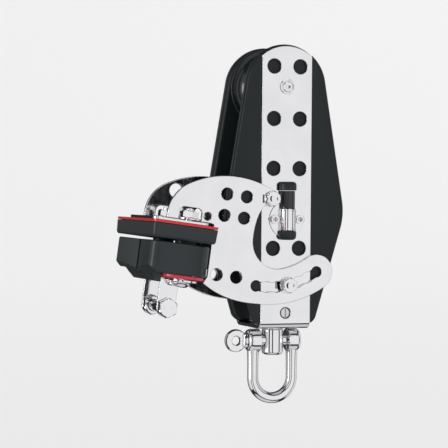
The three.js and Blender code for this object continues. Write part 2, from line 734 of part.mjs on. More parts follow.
// The hooked outline of an arm plate: its eye is at the pivot and its tail carries the slot
function armShape() {
  const eye = 5.8;
  const back = { x: -26.8, z: -57.6 };
  const backRadius = Math.hypot(back.x, back.z) + eye;
  const backStart = Math.atan2(-back.z, -back.x);
  const nose = { x: -48.8, z: -20.6 };
  const noseRadius = backRadius - Math.hypot(nose.x - back.x, nose.z - back.z);
  const noseStart = Math.atan2(nose.z - back.z, nose.x - back.x);
  const noseEnd = Math.PI - Math.asin((ARM_FOOT_Z - nose.z) / noseRadius);
  const tail = 12.4;
  const tailAngle = -90 * DEG + SLOT_MIDDLE + SLOT_HALF_ANGLE;
  const throat = { x: 9.4, z: -29.5 };
  const throatRadius = SLOT_RADIUS - tail - Math.hypot(throat.x, throat.z);
  const throatStart = Math.atan2(throat.z, throat.x);
  const eyeStart = -125.9 * DEG;
  const nutX = CLEAT_X + CAM_X;

  const shape = new THREE.Shape();
  shape.absarc(0, 0, eye, eyeStart, backStart);
  shape.absarc(back.x, back.z, backRadius, backStart, noseStart);
  shape.absarc(nose.x, nose.z, noseRadius, noseStart, noseEnd);
  const archCorner = 3.5;
  const archZ = CLEAT_Z + CAM_SCREW_END + 0.7 - archCorner;
  shape.lineTo(nutX - NUT_ARCH, ARM_FOOT_Z);
  shape.absarc(nutX - NUT_ARCH + archCorner, archZ, archCorner, Math.PI, 90 * DEG, true);
  shape.absarc(nutX + NUT_ARCH - archCorner, archZ, archCorner, 90 * DEG, 0, true);
  shape.lineTo(nutX + NUT_ARCH, ARM_FOOT_Z);
  shape.lineTo(-42, ARM_FOOT_Z);
  shape.quadraticCurveTo(-40.2, ARM_FOOT_Z, -40.2, ARM_FOOT_Z - 1.8);
  shape.lineTo(-40.2, -60.5);
  shape.lineTo(-42.6, -65.4);
  shape.quadraticCurveTo(-25, -76.5, ...polar(SLOT_RADIUS + tail, -90.4 * DEG));
  shape.absarc(0, 0, SLOT_RADIUS + tail, -90.4 * DEG, tailAngle);
  shape.absarc(...polar(SLOT_RADIUS, tailAngle), tail, tailAngle, tailAngle + Math.PI);
  shape.absarc(0, 0, SLOT_RADIUS - tail, tailAngle, throatStart, true);
  shape.absarc(throat.x, throat.z, throatRadius, throatStart, -Math.PI, true);
  shape.quadraticCurveTo(throat.x - throatRadius - 0.2, -12, ...polar(eye, eyeStart));
  return shape;
}

// The adjusting slot: a curved band with a round notch at each setting
function slotTools(y0, y1) {
  const first = -90 * DEG + SLOT_MIDDLE - SLOT_HALF_ANGLE;
  const last = first + 2 * SLOT_HALF_ANGLE;
  const half = 3.15;
  const band = new THREE.Shape();
  band.absarc(0, 0, SLOT_RADIUS + half, first, last);
  band.absarc(0, 0, SLOT_RADIUS - half, last, first, true);
  band.closePath();
  const tools = [plateY(band, y0, y1, 8)];
  for (let i = 0; i < SLOT_NOTCHES; i += 1) {
    const angle = first + (i / (SLOT_NOTCHES - 1)) * (last - first);
    tools.push(rodY(3.9, y0, y1, ...polar(SLOT_RADIUS, angle), 12));
  }
  return tools;
}

function armPlate(side) {
  const [y0, y1] = span(side, ARM_INNER, ARM_OUTER);
  const columns = [-33.4, -18.6];
  const rows = [-1.3, -16.4, -58.3];
  const holes = columns.flatMap((x) => rows.map((z) => rodY(4.4, y0 - 1, y1 + 1, x, z, 14)));
  holes.push(rodY(2.9, y0 - 1, y1 + 1, -45.6, -18.8, SMALL_ROUND));
  if (side === FAR) holes.push(rodY(5, y0 - 1, y1 + 1, -53.6, -1.9));
  const blank = plateY(armShape(), y0, y1, 7);
  return cut(blank, rodY(3.3, y0 - 1, y1 + 1, 0, 0, SMALL_ROUND), ...holes, ...slotTools(y0 - 1, y1 + 1));
}

addPart(arm, 'near_arm_plate', armPlate(NEAR), 'steel');
addPart(arm, 'far_arm_plate', armPlate(FAR), 'steel');

// ---------------------------------------------------------------- cam cleat

const cleat = new THREE.Group();
cleat.position.set(CLEAT_X, 0, CLEAT_Z);
arm.add(cleat);

const screwPlaces = [[CAM_X, -CAM_Y], [CAM_X, CAM_Y]];

function cleatPlatform() {
  const plate = plateZ(roundedRectangle(20.6, 30, 4, 2.2, 0), ...CLEAT_PLATFORM, 4);
  return cut(plate, ...screwPlaces.map((place) => rodZ(CAM_SCREW_HOLE, 0, 5, ...place, SMALL_ROUND)));
}

function cleatTopPlate() {
  const outline = roundedRectangle(CLEAT_HALF_WIDTH, CLEAT_HALF_LENGTH, 3, CLEAT_BASE_X, 0);
  const plate = plateZ(outline, ...CLEAT_PLATE, 4);
  return cut(plate, ...screwPlaces.map((place) => rodZ(CAM_SCREW_HOLE, -1, 3, ...place, SMALL_ROUND)));
}

// The drafted base, with a hollow boss for each cam to turn on
function cleatBase() {
  const top = CLEAT_BASE_TOP;
  const bottom = CLEAT_BASE_BOTTOM;
  const draft = 0.6;
  const geometry = new THREE.BoxGeometry(2 * CLEAT_HALF_WIDTH, 2 * CLEAT_HALF_LENGTH, top - bottom);
  const points = geometry.attributes.position;
  for (let i = 0; i < points.count; i += 1) {
    if (points.getZ(i) < 0) {
      points.setX(i, points.getX(i) - draft * Math.sign(points.getX(i)));
      points.setY(i, points.getY(i) - draft * Math.sign(points.getY(i)));
    }
  }
  geometry.translate(CLEAT_BASE_X, 0, (top + bottom) / 2);
  const bosses = screwPlaces.map((place) => rodZ(CAM_BOSS_RADIUS, CAM_BOSS_BOTTOM, bottom + 1, ...place));
  const bores = screwPlaces.map((place) => rodZ(CAM_SCREW_HOLE, -40, 1, ...place, SMALL_ROUND));
  return cut(join(solid(geometry), ...bosses), ...bores);
}

addPart(cleat, 'cleat_platform', cleatPlatform(), 'steel');
addPart(cleat, 'cleat_top_plate', cleatTopPlate(), 'red');
addPart(cleat, 'cleat_base', cleatBase(), 'alloy');

// Corners of a cam's outline in the cleat's frame: x, and the distance from the middle of the cleat.
// They run from the tip of the jaw round the back of the cam to where its teeth begin.
const CAM_OUTLINE = [
  [-17, 2], [-19.6, 20], [-21.5, 37], [-20.6, 41.6], [-17, 44], [-9, 45.5], [0, 46], [9, 45.2], [17, 42.6],
  [21.5, 36.7], [24.2, 32.6], [24.2, 24], [20, 13.5], [12.5, 5], [6, 1.3],
];
const CAM_TEETH = 8;

function camShape() {
  const shape = new THREE.Shape();
  const [first, ...rest] = CAM_OUTLINE.map(([x, away]) => [x, -away]);
  shape.moveTo(...first);
  rest.forEach((corner) => shape.lineTo(...corner));
  const start = rest[rest.length - 1];
  for (let i = 1; i <= CAM_TEETH; i += 1) {
    const along = (step) => start.map((value, axis) => value + (first[axis] - value) * (step / CAM_TEETH));
    const [valleyX, valleyY] = along(i - 0.25);
    shape.lineTo(valleyX, valleyY - 1.3);
    if (i < CAM_TEETH) shape.lineTo(...along(i));
  }
  shape.closePath();
  return shape;
}

// The end of the jaw reaches further down, beside the ring under the cam
function camFoot() {
  const shape = new THREE.Shape();
  shape.moveTo(-17, -2);
  shape.lineTo(-20.5, -30);
  shape.lineTo(-8, -30);
  shape.lineTo(-GUARD_HALF + GUARD_X - 1, -16);
  shape.lineTo(-GUARD_HALF + GUARD_X - 1, -2);
  shape.closePath();
  const blank = plateZ(shape, CAM_FOOT, CAM_BOTTOM + 1);
  return cut(blank, rodZ(CAM_RING_RADIUS + 1, CAM_FOOT - 1, CAM_BOTTOM, CAM_X, -CAM_Y, LARGE_ROUND));
}

function cam(side) {
  const body = join(plateZ(camShape(), CAM_BOTTOM, CAM_TOP), camFoot());
  const bore = rodZ(CAM_BORE, CAM_BOTTOM - 1, CAM_TOP + 1, CAM_X, -CAM_Y);
  const springPocket = rodZ(11.4, CAM_TOP - 5.4, CAM_TOP + 1, CAM_X, -CAM_Y);
  const section = new THREE.Shape();
  section.moveTo(-30, CAM_FOOT - 1);
  section.lineTo(-9, CAM_FOOT - 1);
  section.lineTo(-13, CAM_FOOT + 3.5);
  section.lineTo(-17.2, CAM_FOOT + 7.6);
  section.lineTo(-20.4, CAM_FOOT + 10.2);
  section.lineTo(-22.5, CAM_FOOT + 13);
  section.lineTo(-30, CAM_FOOT + 13);
  section.closePath();
  const nearCam = cut(body, bore, springPocket, plateY(section, -60, 10));
  return side === NEAR ? nearCam : nearCam.mirror([0, 1, 0]);
}

class SpringCurve extends THREE.Curve {
  getPoint(t) {
    const turns = 2.4;
    const angle = 2 * Math.PI * turns * t;
    return new THREE.Vector3(9.7 * Math.cos(angle), 9.7 * Math.sin(angle), CAM_TOP - 4.2 + 3.4 * t);
  }
}

function camSpring(side) {
  const wire = new THREE.ExtrudeGeometry(circleShape(0.55), {
    steps: 26,
    curveSegments: 2,
    bevelEnabled: false,
    extrudePath: new SpringCurve(),
  });
  wire.translate(CAM_X, side * CAM_Y, 0);
  return solid(wire);
}

function camScrew(place) {
  const headTop = GUARD_TOP - GUARD_THICKNESS - GAP;
  const shank = rodZ(CAM_SCREW_RADIUS, headTop - 1, CAM_SCREW_END, ...place, SMALL_ROUND);
  const head = rodZ(CAM_SCREW_HEAD, headTop - 3.6, headTop, ...place);
  return cut(join(shank, head), hexZ(4, headTop - 5, headTop - 2, ...place));
}

for (const [side, word] of [[NEAR, 'near'], [FAR, 'far']]) {
  const place = [CAM_X, side * CAM_Y];
  addPart(cleat, `${word}_cam`, cam(side), 'alloy');
  addPart(
    cleat,
    `${word}_cam_ring`,
    cut(
      rodZ(CAM_RING_RADIUS, CAM_RING_BOTTOM, CAM_BOTTOM - GAP, ...place, LARGE_ROUND),
      rodZ(CAM_BORE, CAM_RING_BOTTOM - 1, CAM_BOTTOM + 1, ...place),
    ),
    'red',
  );
  addPart(cleat, `${word}_cam_spring`, camSpring(side), 'brushed');
  addPart(cleat, `${word}_cam_screw`, camScrew(place), 'steel');
  const nutFace = CLEAT_PLATFORM[1] + GAP;
  const nut = cut(
    join(rodZ(CAM_NUT_FLANGE, nutFace, nutFace + 1.6, ...place), hexZ(CAM_NUT_FLATS, 5.2, 10.4, ...place)),
    rodZ(CAM_SCREW_RADIUS + GAP, 3, 11, ...place, SMALL_ROUND),
  );
  addPart(cleat, `${word}_cam_nut`, nut, 'steel');
}

// A bent strip under both cams, with a leg folded down beside each and a bolt across the legs
function ropeGuard() {
  const [z0, z1] = [GUARD_TOP - GUARD_THICKNESS, GUARD_TOP];
  const legOuter = GUARD_LEG[1];
  const strip = box(GUARD_X - GUARD_HALF, GUARD_X + GUARD_HALF, -legOuter, legOuter, z0, z1);
  const ears = screwPlaces.map(([x, y]) => rodZ(GUARD_EAR_RADIUS, z0, z1, x + 1.6, y));
  const legShape = new THREE.Shape();
  legShape.moveTo(GUARD_X + GUARD_HALF, z1);
  legShape.lineTo(GUARD_X - GUARD_HALF, z1);
  legShape.absarc(GUARD_X, GUARD_BOLT_Z, GUARD_HALF, Math.PI, 2 * Math.PI);
  legShape.closePath();
  const legs = [NEAR, FAR].map((side) => plateY(legShape, ...span(side, ...GUARD_LEG), 7));
  const screwHoles = screwPlaces.map((place) => rodZ(CAM_SCREW_HOLE, z0 - 1, z1 + 1, ...place, SMALL_ROUND));
  const boltHole = rodY(GUARD_BOLT_RADIUS + GAP, -30, 30, GUARD_X, GUARD_BOLT_Z, SMALL_ROUND);
  return cut(join(strip, ...ears, ...legs), ...screwHoles, boltHole);
}

addPart(cleat, 'rope_guard', ropeGuard(), 'steel');
const guardPlace = [GUARD_X, GUARD_BOLT_Z];
const guardBoltShank = { radius: GUARD_BOLT_RADIUS, end: -20.6 };
addPart(
  cleat,
  'guard_bolt',
  hexBoltY(NEAR, GUARD_HEX_FLATS, [19.4, 24.4], { radius: 6.4, face: 18.4 }, guardBoltShank, guardPlace),
  'steel',
);
const guardNutHole = rodY(GUARD_BOLT_RADIUS + GAP, 9, 17, ...guardPlace, SMALL_ROUND);
addPart(cleat, 'guard_nut', cut(hexY(GUARD_HEX_FLATS, 10.1, 16.1, ...guardPlace), guardNutHole), 'steel');

export default assembly;
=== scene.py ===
import json
import math

import bmesh
import bpy
from mathutils import Matrix, Vector


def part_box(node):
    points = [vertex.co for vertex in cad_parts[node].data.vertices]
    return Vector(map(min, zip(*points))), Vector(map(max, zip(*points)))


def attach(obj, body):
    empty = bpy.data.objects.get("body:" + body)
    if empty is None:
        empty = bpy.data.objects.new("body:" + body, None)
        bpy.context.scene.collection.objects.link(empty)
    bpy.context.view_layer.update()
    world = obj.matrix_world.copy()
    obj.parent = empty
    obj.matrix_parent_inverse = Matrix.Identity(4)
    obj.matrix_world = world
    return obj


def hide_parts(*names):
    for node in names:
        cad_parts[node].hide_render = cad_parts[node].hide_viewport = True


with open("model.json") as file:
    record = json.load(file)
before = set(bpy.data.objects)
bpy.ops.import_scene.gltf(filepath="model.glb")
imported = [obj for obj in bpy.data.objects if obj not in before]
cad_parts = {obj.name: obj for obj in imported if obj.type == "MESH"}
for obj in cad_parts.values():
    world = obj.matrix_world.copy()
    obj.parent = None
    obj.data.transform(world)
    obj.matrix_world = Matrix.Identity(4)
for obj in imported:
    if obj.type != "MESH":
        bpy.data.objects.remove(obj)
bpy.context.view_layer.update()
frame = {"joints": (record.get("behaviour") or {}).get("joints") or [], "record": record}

MM = 0.001
DEG = math.pi / 180
NEAR, FAR = -1, 1
SIDES = ((NEAR, "near"), (FAR, "far"))

record = frame["record"]
scene = bpy.context.scene
body_of = {node: body for body, nodes in record["behaviour"]["bodies"].items() for node in nodes}
slot_of = {part["node"]: part["material_slot"] for part in record["subparts"]}
joints = {joint["name"]: joint for joint in frame["joints"]}


def joint_point(name):
    return Vector(joints[name]["pos_m"]) / MM


def extent(node):
    """Lowest and highest corner of a CAD node, in millimetres."""
    low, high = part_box(node)
    return low / MM, high / MM


def reach_out(node):
    """How far from the middle plane a node on one side of the block begins and ends."""
    low, high = extent(node)
    return sorted((abs(low.y), abs(high.y)))


# -------- frames

HUB = joint_point("ratchet_sheave_spin")
UPPER = joint_point("upper_sheave_spin")
PIN = joint_point("shackle_swing")
PIVOT = joint_point("cam_arm_tilt")
CAM_JOINT = joint_point("near_cam_open")
cam_axis = Vector(joints["near_cam_open"]["axis"])
TILT = math.atan2(cam_axis.x, cam_axis.z)
# Each cam turns this far from the middle line of the cleat
CAM_X = 8
CAM_Y = abs(CAM_JOINT.y)

ROW = Matrix()
BLOCK = Matrix.Translation(HUB)
TOP = Matrix.Translation(UPPER)
ARM = Matrix.Translation(PIVOT) @ Matrix.Rotation(TILT, 4, "Y")
CLEAT = Matrix.Translation((CAM_JOINT.x, 0, CAM_JOINT.z)) @ Matrix.Rotation(TILT, 4, "Y") \
    @ Matrix.Translation((-CAM_X, 0, 0))
AXLE_SPACING = UPPER.z - HUB.z

# A piece that faces one side is drawn in x and z, as x and y, with its outward direction as z
FACING = {
    NEAR: Matrix(((1, 0, 0, 0), (0, 0, -1, 0), (0, 1, 0, 0), (0, 0, 0, 1))),
    FAR: Matrix(((1, 0, 0, 0), (0, 0, 1, 0), (0, 1, 0, 0), (0, 0, 0, 1))),
}
ACROSS = FACING[FAR]
# Lays a piece that is drawn along +Z down along +X
TO_X = Matrix.Rotation(90 * DEG, 4, "Y")


def at(x, y, z):
    return Matrix.Translation((x, y, z))


# -------- materials


def add_node(tree, kind, links=(), **values):
    """A shader node with some of its sockets linked and some set."""
    node = tree.nodes.new("ShaderNode" + kind)
    for socket, source in links:
        tree.links.new(source, node.inputs[socket])
    for socket, value in values.items():
        node.inputs[socket.replace("_", " ")].default_value = value
    return node


def node_material(name, color, metallic, roughness, **settings):
    material = bpy.data.materials.new(name)
    material.use_nodes = True
    shader = material.node_tree.nodes["Principled BSDF"]
    shader.inputs["Base Color"].default_value = (*color, 1)
    shader.inputs["Metallic"].default_value = metallic
    shader.inputs["Roughness"].default_value = roughness
    for socket, value in settings.items():
        shader.inputs[socket.replace("_", " ")].default_value = value
    return material, material.node_tree, shader


def noise(tree, scale, detail=3, stretch=(1, 1, 1)):
    """Noise fixed to the piece, with cells of about 1 / scale metres."""
    place = add_node(tree, "TexCoord").outputs["Object"]
    mapping = add_node(tree, "Mapping", [("Vector", place)], Scale=stretch).outputs["Vector"]
    return add_node(tree, "TexNoise", [("Vector", mapping)], Scale=scale, Detail=detail).outputs["Fac"]


def ramp(tree, factor, low, high, start=0.35, end=0.65):
    """Spreads a factor between two values, or between two colours."""
    spread = add_node(tree, "MapRange", [("Value", factor)], From_Min=start, From_Max=end)
    if not isinstance(low, tuple):
        spread.inputs["To Min"].default_value = low
        spread.inputs["To Max"].default_value = high
        return spread.outputs["Result"]
    mix = tree.nodes.new("ShaderNodeMix")
    mix.data_type = "RGBA"
    mix.inputs["A"].default_value = (*low, 1)
    mix.inputs["B"].default_value = (*high, 1)
    tree.links.new(spread.outputs["Result"], mix.inputs["Factor"])
    return mix.outputs["Result"]


def bump(tree, shader, height, strength, distance):
    node = add_node(tree, "Bump", [("Height", height)], Strength=strength, Distance=distance)
    tree.links.new(node.outputs["Normal"], shader.inputs["Normal"])


def painted_edge_highlight(tree, face_color, edge_highlight_color):
    """A painted highlight: a colour that turns to another, lighter one on convex edges, as if they caught
    the light.
    """
    edges = add_node(tree, "NewGeometry").outputs["Pointiness"]
    return ramp(tree, edges, face_color, edge_highlight_color, 0.52, 0.6)


def polished_steel():
    material, tree, shader = node_material("polished_steel", (0.86, 0.86, 0.885), 1, 0.07)
    tone = noise(tree, 60, 4)
    tree.links.new(ramp(tree, tone, (0.84, 0.84, 0.865), (0.88, 0.88, 0.9)), shader.inputs["Base Color"])
    scratches = noise(tree, 900, 2, (1, 1, 0.04))
    tree.links.new(ramp(tree, scratches, 0.05, 0.11), shader.inputs["Roughness"])
    bump(tree, shader, scratches, 0.03, 0.00002)
    return material


def turned_steel():
    material, tree, shader = node_material("turned_steel", (0.7, 0.71, 0.73), 1, 0.26)
    marks = noise(tree, 1600, 3, (1, 0.1, 1))
    tree.links.new(ramp(tree, marks, 0.2, 0.36), shader.inputs["Roughness"])
    tree.links.new(ramp(tree, marks, (0.64, 0.65, 0.67), (0.76, 0.77, 0.79)), shader.inputs["Base Color"])
    bump(tree, shader, marks, 0.12, 0.00004)
    return material


def moulded_plastic(name, face, edge, roughness, grain, depth, gloss):
    material, tree, shader = node_material(name, face, 0, roughness, Specular_IOR_Level=gloss)
    cells = noise(tree, grain, 5)
    # The edge colour is a painted highlight: convex edges turn lighter, as if they caught the light.
    tree.links.new(painted_edge_highlight(tree, face, edge), shader.inputs["Base Color"])
    tree.links.new(ramp(tree, cells, roughness - 0.06, roughness + 0.06), shader.inputs["Roughness"])
    bump(tree, shader, cells, 0.25, depth)
    return material


def anodised(name, face, edge, roughness):
    material, tree, shader = node_material(name, face, 0.55, roughness, Specular_IOR_Level=0.5)
    blast = noise(tree, 2600, 4)
    # The edge colour is a painted highlight: convex edges turn lighter, as if they caught the light.
    tree.links.new(painted_edge_highlight(tree, face, edge), shader.inputs["Base Color"])
    tree.links.new(ramp(tree, blast, roughness - 0.05, roughness + 0.07), shader.inputs["Roughness"])
    bump(tree, shader, blast, 0.2, 0.00003)
    return material


def cast_bronze():
    material, tree, shader = node_material("bronze", (0.5, 0.36, 0.17), 1, 0.34)
    cells = noise(tree, 700, 4)
    tree.links.new(ramp(tree, cells, (0.42, 0.29, 0.12), (0.58, 0.43, 0.22)), shader.inputs["Base Color"])
    bump(tree, shader, cells, 0.2, 0.00005)
    return material


# Name, colour, colour of the painted highlight on edges, roughness, grains per metre, depth of the grain in
# metres, gloss
PLASTICS = (
    ("cheek_plastic", (0.006, 0.0088, 0.0098), (0.03, 0.036, 0.038), 0.42, 2200, 0.00005, 0.32),
    ("sheave_plastic", (0.008, 0.011, 0.012), (0.05, 0.055, 0.057), 0.2, 900, 0.00001, 0.5),
    ("switch_plastic", (0.006, 0.007, 0.008), (0.03, 0.032, 0.034), 0.14, 900, 0.00001, 0.5),
    ("red_plastic", (0.52, 0.012, 0.045), (0.7, 0.1, 0.14), 0.3, 1200, 0.00002, 0.5),
    ("white_plastic", (0.78, 0.77, 0.72), (0.85, 0.84, 0.8), 0.4, 1200, 0.00003, 0.5),
)
MATERIALS = {
    "polished_steel": polished_steel(),
    "turned_steel": turned_steel(),
    # The second colour of each alloy is the painted highlight on its convex edges.
    "black_alloy": anodised("black_alloy", (0.027, 0.032, 0.035), (0.045, 0.051, 0.054), 0.4),
    "red_alloy": anodised("red_alloy", (0.62, 0.03, 0.035), (0.75, 0.16, 0.16), 0.36),
    "bronze": cast_bronze(),
}
for plastic in PLASTICS:
    MATERIALS[plastic[0]] = moulded_plastic(*plastic)

# -------- mesh tools


def new_object(name, verts, faces):
    mesh = bpy.data.meshes.new(name)
    mesh.from_pydata([tuple(v) for v in verts], [], faces)
    mesh.validate()
    piece = bpy.data.objects.new(name, mesh)
    scene.collection.objects.link(piece)
    return piece


def tidy(piece):
    """Merges doubled points, and turns every face outwards."""
    work = bmesh.new()
    work.from_mesh(piece.data)
    bmesh.ops.remove_doubles(work, verts=work.verts, dist=1e-4)
    bmesh.ops.dissolve_degenerate(work, edges=work.edges, dist=1e-5)
    bmesh.ops.recalc_face_normals(work, faces=work.faces)
    work.to_mesh(piece.data)
    work.free()
    return piece


def evaluated_mesh(holder):
    graph = bpy.context.evaluated_depsgraph_get()
    return bpy.data.meshes.new_from_object(holder.evaluated_get(graph))


def from_curve(curve):
    """A curve's surface as a piece of its own."""
    holder = bpy.data.objects.new("curve", curve)
    scene.collection.objects.link(holder)
    piece = bpy.data.objects.new("piece", evaluated_mesh(holder))
    bpy.data.objects.remove(holder)
    scene.collection.objects.link(piece)
    return piece


def combine(piece, tools, operation):
    for tool in tools:
        modifier = piece.modifiers.new("combine", "BOOLEAN")
        modifier.operation = operation
        modifier.solver = "EXACT"
        modifier.object = tool
        mesh = evaluated_mesh(piece)
        piece.modifiers.clear()
        piece.data = mesh
        bpy.data.objects.remove(tool)
    return piece


def cut(piece, *tools):
    return combine(piece, tools, "DIFFERENCE")


def join(piece, *others):
    return combine(piece, others, "UNION")


def placed(piece, matrix):
    piece.data.transform(matrix)
    return piece


def finish_piece(piece, node, place, angle=34):
    """Sets a piece drawn in millimetres in place of its CAD node."""
    tidy(placed(piece, place))
    piece.data.transform(Matrix.Scale(MM, 4))
    piece.name = node + "_fine"
    piece.data.polygons.foreach_set("use_smooth", [True] * len(piece.data.polygons))
    piece.data.set_sharp_from_angle(angle=angle * DEG)
    weighted = piece.modifiers.new("weighted_normals", "WEIGHTED_NORMAL")
    weighted.keep_sharp = True
    weighted.weight = 80
    piece.data.materials.clear()
    piece.data.materials.append(MATERIALS[slot_of[node]])
    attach(piece, body_of[node])
    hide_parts(node)


def both_sides(*makers):
    for side, word in SIDES:
        for maker in makers:
            maker(side, word)


# -------- outlines, as lists of 2-D points


def arc(x, y, radius, start, end, step=4):
    """Points on an arc, from one angle to another in degrees."""
    count = max(2, math.ceil(abs(end - start) / step))
    angles = [(start + (end - start) * i / count) * DEG for i in range(count + 1)]
    return [(x + radius * math.cos(a), y + radius * math.sin(a)) for a in angles]


def circle(radius, x=0, y=0, sides=64):
    return arc(x, y, radius, 0, 360 - 360 / sides, 360 / sides)


def curved(start, bend, end, count=10):
    """Points on a quadratic curve."""
    points = []
    for i in range(count + 1):
        t = i / count
        a, b, c = (1 - t) ** 2, 2 * t * (1 - t), t * t
        points.append(tuple(a * s + b * m + c * e for s, m, e in zip(start, bend, end)))
    return points


def rounded_box(half_x, half_y, corner, x=0, y=0):
    points = []
    for right, up, start in ((1, -1, -90), (1, 1, 0), (-1, 1, 90), (-1, -1, 180)):
        middle_x, middle_y = x + right * (half_x - corner), y + up * (half_y - corner)
        points += arc(middle_x, middle_y, corner, start, start + 90, 10)
    return points


def polar(radius, angle):
    return radius * math.cos(angle * DEG), radius * math.sin(angle * DEG)


def thinned(points, near=0.02):
    """The outline without points that fall on each other."""
    kept = []
    for p in points:
        if not kept or math.dist(p, kept[-1]) > near:
            kept.append(p)
    while math.dist(kept[0], kept[-1]) < near:
        kept.pop()
    return kept


def inset(points, distance):
    """A closed anticlockwise outline moved inwards along its corners' bisectors."""
    moved = []
    count = len(points)
    for i, point in enumerate(points):
        here = Vector(point)
        before = (here - Vector(points[i - 1])).normalized()
        after = (Vector(points[(i + 1) % count]) - here).normalized()
        inward = Vector((-before.y - after.y, before.x + after.x))
        if inward.length < 1e-6:
            moved.append(tuple(here))
            continue
        inward.normalize()
        lean = max(0.5, inward.dot(Vector((-before.y, before.x))))
        moved.append(tuple(here + inward * distance / lean))
    return moved


# -------- solids

# A turned solid is closed by a small disc of this radius at each end of its axis
AXIS = 0.05
# How a turned ring becomes a hexagon: its corners, how flat its sides are, how far it is turned
HEX = (6, 1, 30)
ROUNDED_HEX = (6, 0.4, 30)
HEX_CHAMFER = 0.14


def plate(outline, holes, low, high, edge=0.35, rounds=2):
    """A flat plate with holes and rounded edges, drawn in x and y, from one height to another."""
    curve = bpy.data.curves.new("plate", "CURVE")
    curve.dimensions = "2D"
    curve.fill_mode = "BOTH"
    for loop in [outline, *holes]:
        points = thinned(loop)
        spline = curve.splines.new("POLY")
        spline.points.add(len(points) - 1)
        for corner, (x, y) in zip(spline.points, points):
            corner.co = (x, y, 0, 1)
        spline.use_cyclic_u = True
    curve.extrude = (high - low) / 2 - edge
    curve.bevel_depth = edge
    curve.bevel_resolution = rounds
    curve.offset = -edge
    return tidy(placed(from_curve(curve), at(0, 0, (low + high) / 2)))


def lofted(rings, closed=False):
    """Joins rings of equally many points. The ends are capped, unless the last ring leads to the first."""
    count = len(rings[0])
    verts = [point for ring in rings for point in ring]
    faces = []
    last = len(rings) if closed else len(rings) - 1
    for r in range(last):
        low, high = r * count, (r + 1) % len(rings) * count
        for i in range(count):
            k = (i + 1) % count
            faces.append((low + i, low + k, high + k, high + i))
    if not closed:
        faces.append(tuple(reversed(range(count))))
        faces.append(tuple(range((len(rings) - 1) * count, len(rings) * count)))
    return tidy(new_object("lofted", verts, faces))


def moulding(outline, levels):
    """A solid with one outline, drawn in x and y: each level is how far it is drawn in, and its height."""
    points = thinned(outline)
    return lofted([[(x, y, height) for x, y in inset(points, draw)] for draw, height in levels])


def turned(rings, closed=False, sides=96):
    """A solid turned about Z. A ring is (radius, height), and can go on with a number of corners, how far
    its sides are flattened towards that polygon and how far it is turned, in degrees."""
    loops = []
    for radius, height, *shape in rings:
        corners, amount, turn = (*shape, 0)[:3] if shape else (4, 0, 0)
        pitch = 2 * math.pi / corners
        loop = []
        for i in range(sides):
            angle = 2 * math.pi * i / sides
            flat = math.cos(pitch / 2) / math.cos((angle % pitch) - pitch / 2)
            reach = radius * (1 - amount * (1 - flat))
            way = angle + turn * DEG
            loop.append((reach * math.cos(way), reach * math.sin(way), height))
        loops.append(loop)
    return lofted(loops, closed)


def softened(profile, radius=0.3, steps=3, closed=False):
    """A turning profile with its corners rounded."""
    count = len(profile)
    points = []
    for i, corner in enumerate(profile):
        if not closed and i in (0, count - 1):
            points.append(corner)
            continue
        here = Vector(corner)
        to_before = Vector(profile[i - 1]) - here
        to_after = Vector(profile[(i + 1) % count]) - here
        reach = min(radius, 0.45 * to_before.length, 0.45 * to_after.length)
        start, end = here + to_before.normalized() * reach, here + to_after.normalized() * reach
        points += curved(tuple(start), tuple(here), tuple(end), steps)
    return points


def ring(inner, outer, low, high, edge=0.3):
    """A washer or bush about Z, with rounded edges."""
    profile = [(inner, low), (outer, low), (outer, high), (inner, high)]
    return turned(softened(profile, edge, closed=True), closed=True)


def rod(radius, low, high, edge=0.4):
    return turned(softened([(AXIS, low), (radius, low), (radius, high), (AXIS, high)], edge))


def wire(points, radii, sides=10):
    """A round bar through points in space, with a radius at each, and closed ends."""
    curve = bpy.data.curves.new("wire", "CURVE")
    curve.dimensions = "3D"
    curve.bevel_depth = 1
    curve.bevel_resolution = sides
    curve.use_fill_caps = True
    spline = curve.splines.new("POLY")
    spline.points.add(len(points) - 1)
    for point, place, radius in zip(spline.points, points, radii):
        point.co = (*place, 1)
        point.radius = radius
    return tidy(from_curve(curve))


def hex_head(flats, low, high, flange, flange_low, shank, shank_low):
    """A chamfered, dished hexagon head on a round flange and a plain shank, along Z."""
    corner = flats / math.sqrt(3)
    half = flats / 2
    chamfer = half * HEX_CHAMFER
    return turned([
        (AXIS, shank_low), (shank - 0.4, shank_low), (shank, shank_low + 0.4), (shank, flange_low),
        (flange - 0.25, flange_low), (flange, flange_low + 0.25), (flange - 0.1, low - 0.25),
        (flange - 0.5, low - 0.02), (corner, low, *HEX), (corner, high - chamfer * 1.1, *HEX),
        (half * 1.04, high - chamfer * 0.6, *ROUNDED_HEX), (half * 0.96, high - chamfer * 0.1),
        (half * 0.9, high), (half * 0.66, high), (half * 0.5, high - 0.45), (half * 0.2, high - 0.75),
        (AXIS, high - 0.8),
    ])


def hex_nut(flats, low, high, bore, turn=30):
    """A hexagon nut with chamfered faces, along Z."""
    corner = flats / math.sqrt(3)
    half = flats / 2
    chamfer = half * HEX_CHAMFER
    side, edge = (6, 1, turn), (6, 0.4, turn)
    return turned([
        (bore, low + 0.4), (bore + 0.4, low), (half * 0.94, low), (half * 1.04, low + chamfer * 0.5, *edge),
        (corner, low + chamfer, *side), (corner, high - chamfer, *side),
        (half * 1.04, high - chamfer * 0.5, *edge), (half * 0.94, high), (bore + 0.4, high),
        (bore, high - 0.4),
    ], closed=True)


def hex_socket(face):
    """The end of a screw's profile: a hexagon socket that runs down to a point."""
    return [(1.95, face), (1.75, face - 0.2, *HEX), (1.7, face - 2.0, *HEX), (AXIS, face - 3.4)]


def drill(radius, low, high, x=0, y=0):
    """A cutting tool along Z."""
    return placed(turned([(radius, low), (radius, high)], sides=64), at(x, y, 0))


def block_tool(x0, x1, y0, y1, z0, z1):
    """A box-shaped cutting tool."""
    return lofted([[(x0, y0, z), (x1, y0, z), (x1, y1, z), (x0, y1, z)] for z in (z0, z1)])


# -------- cheeks

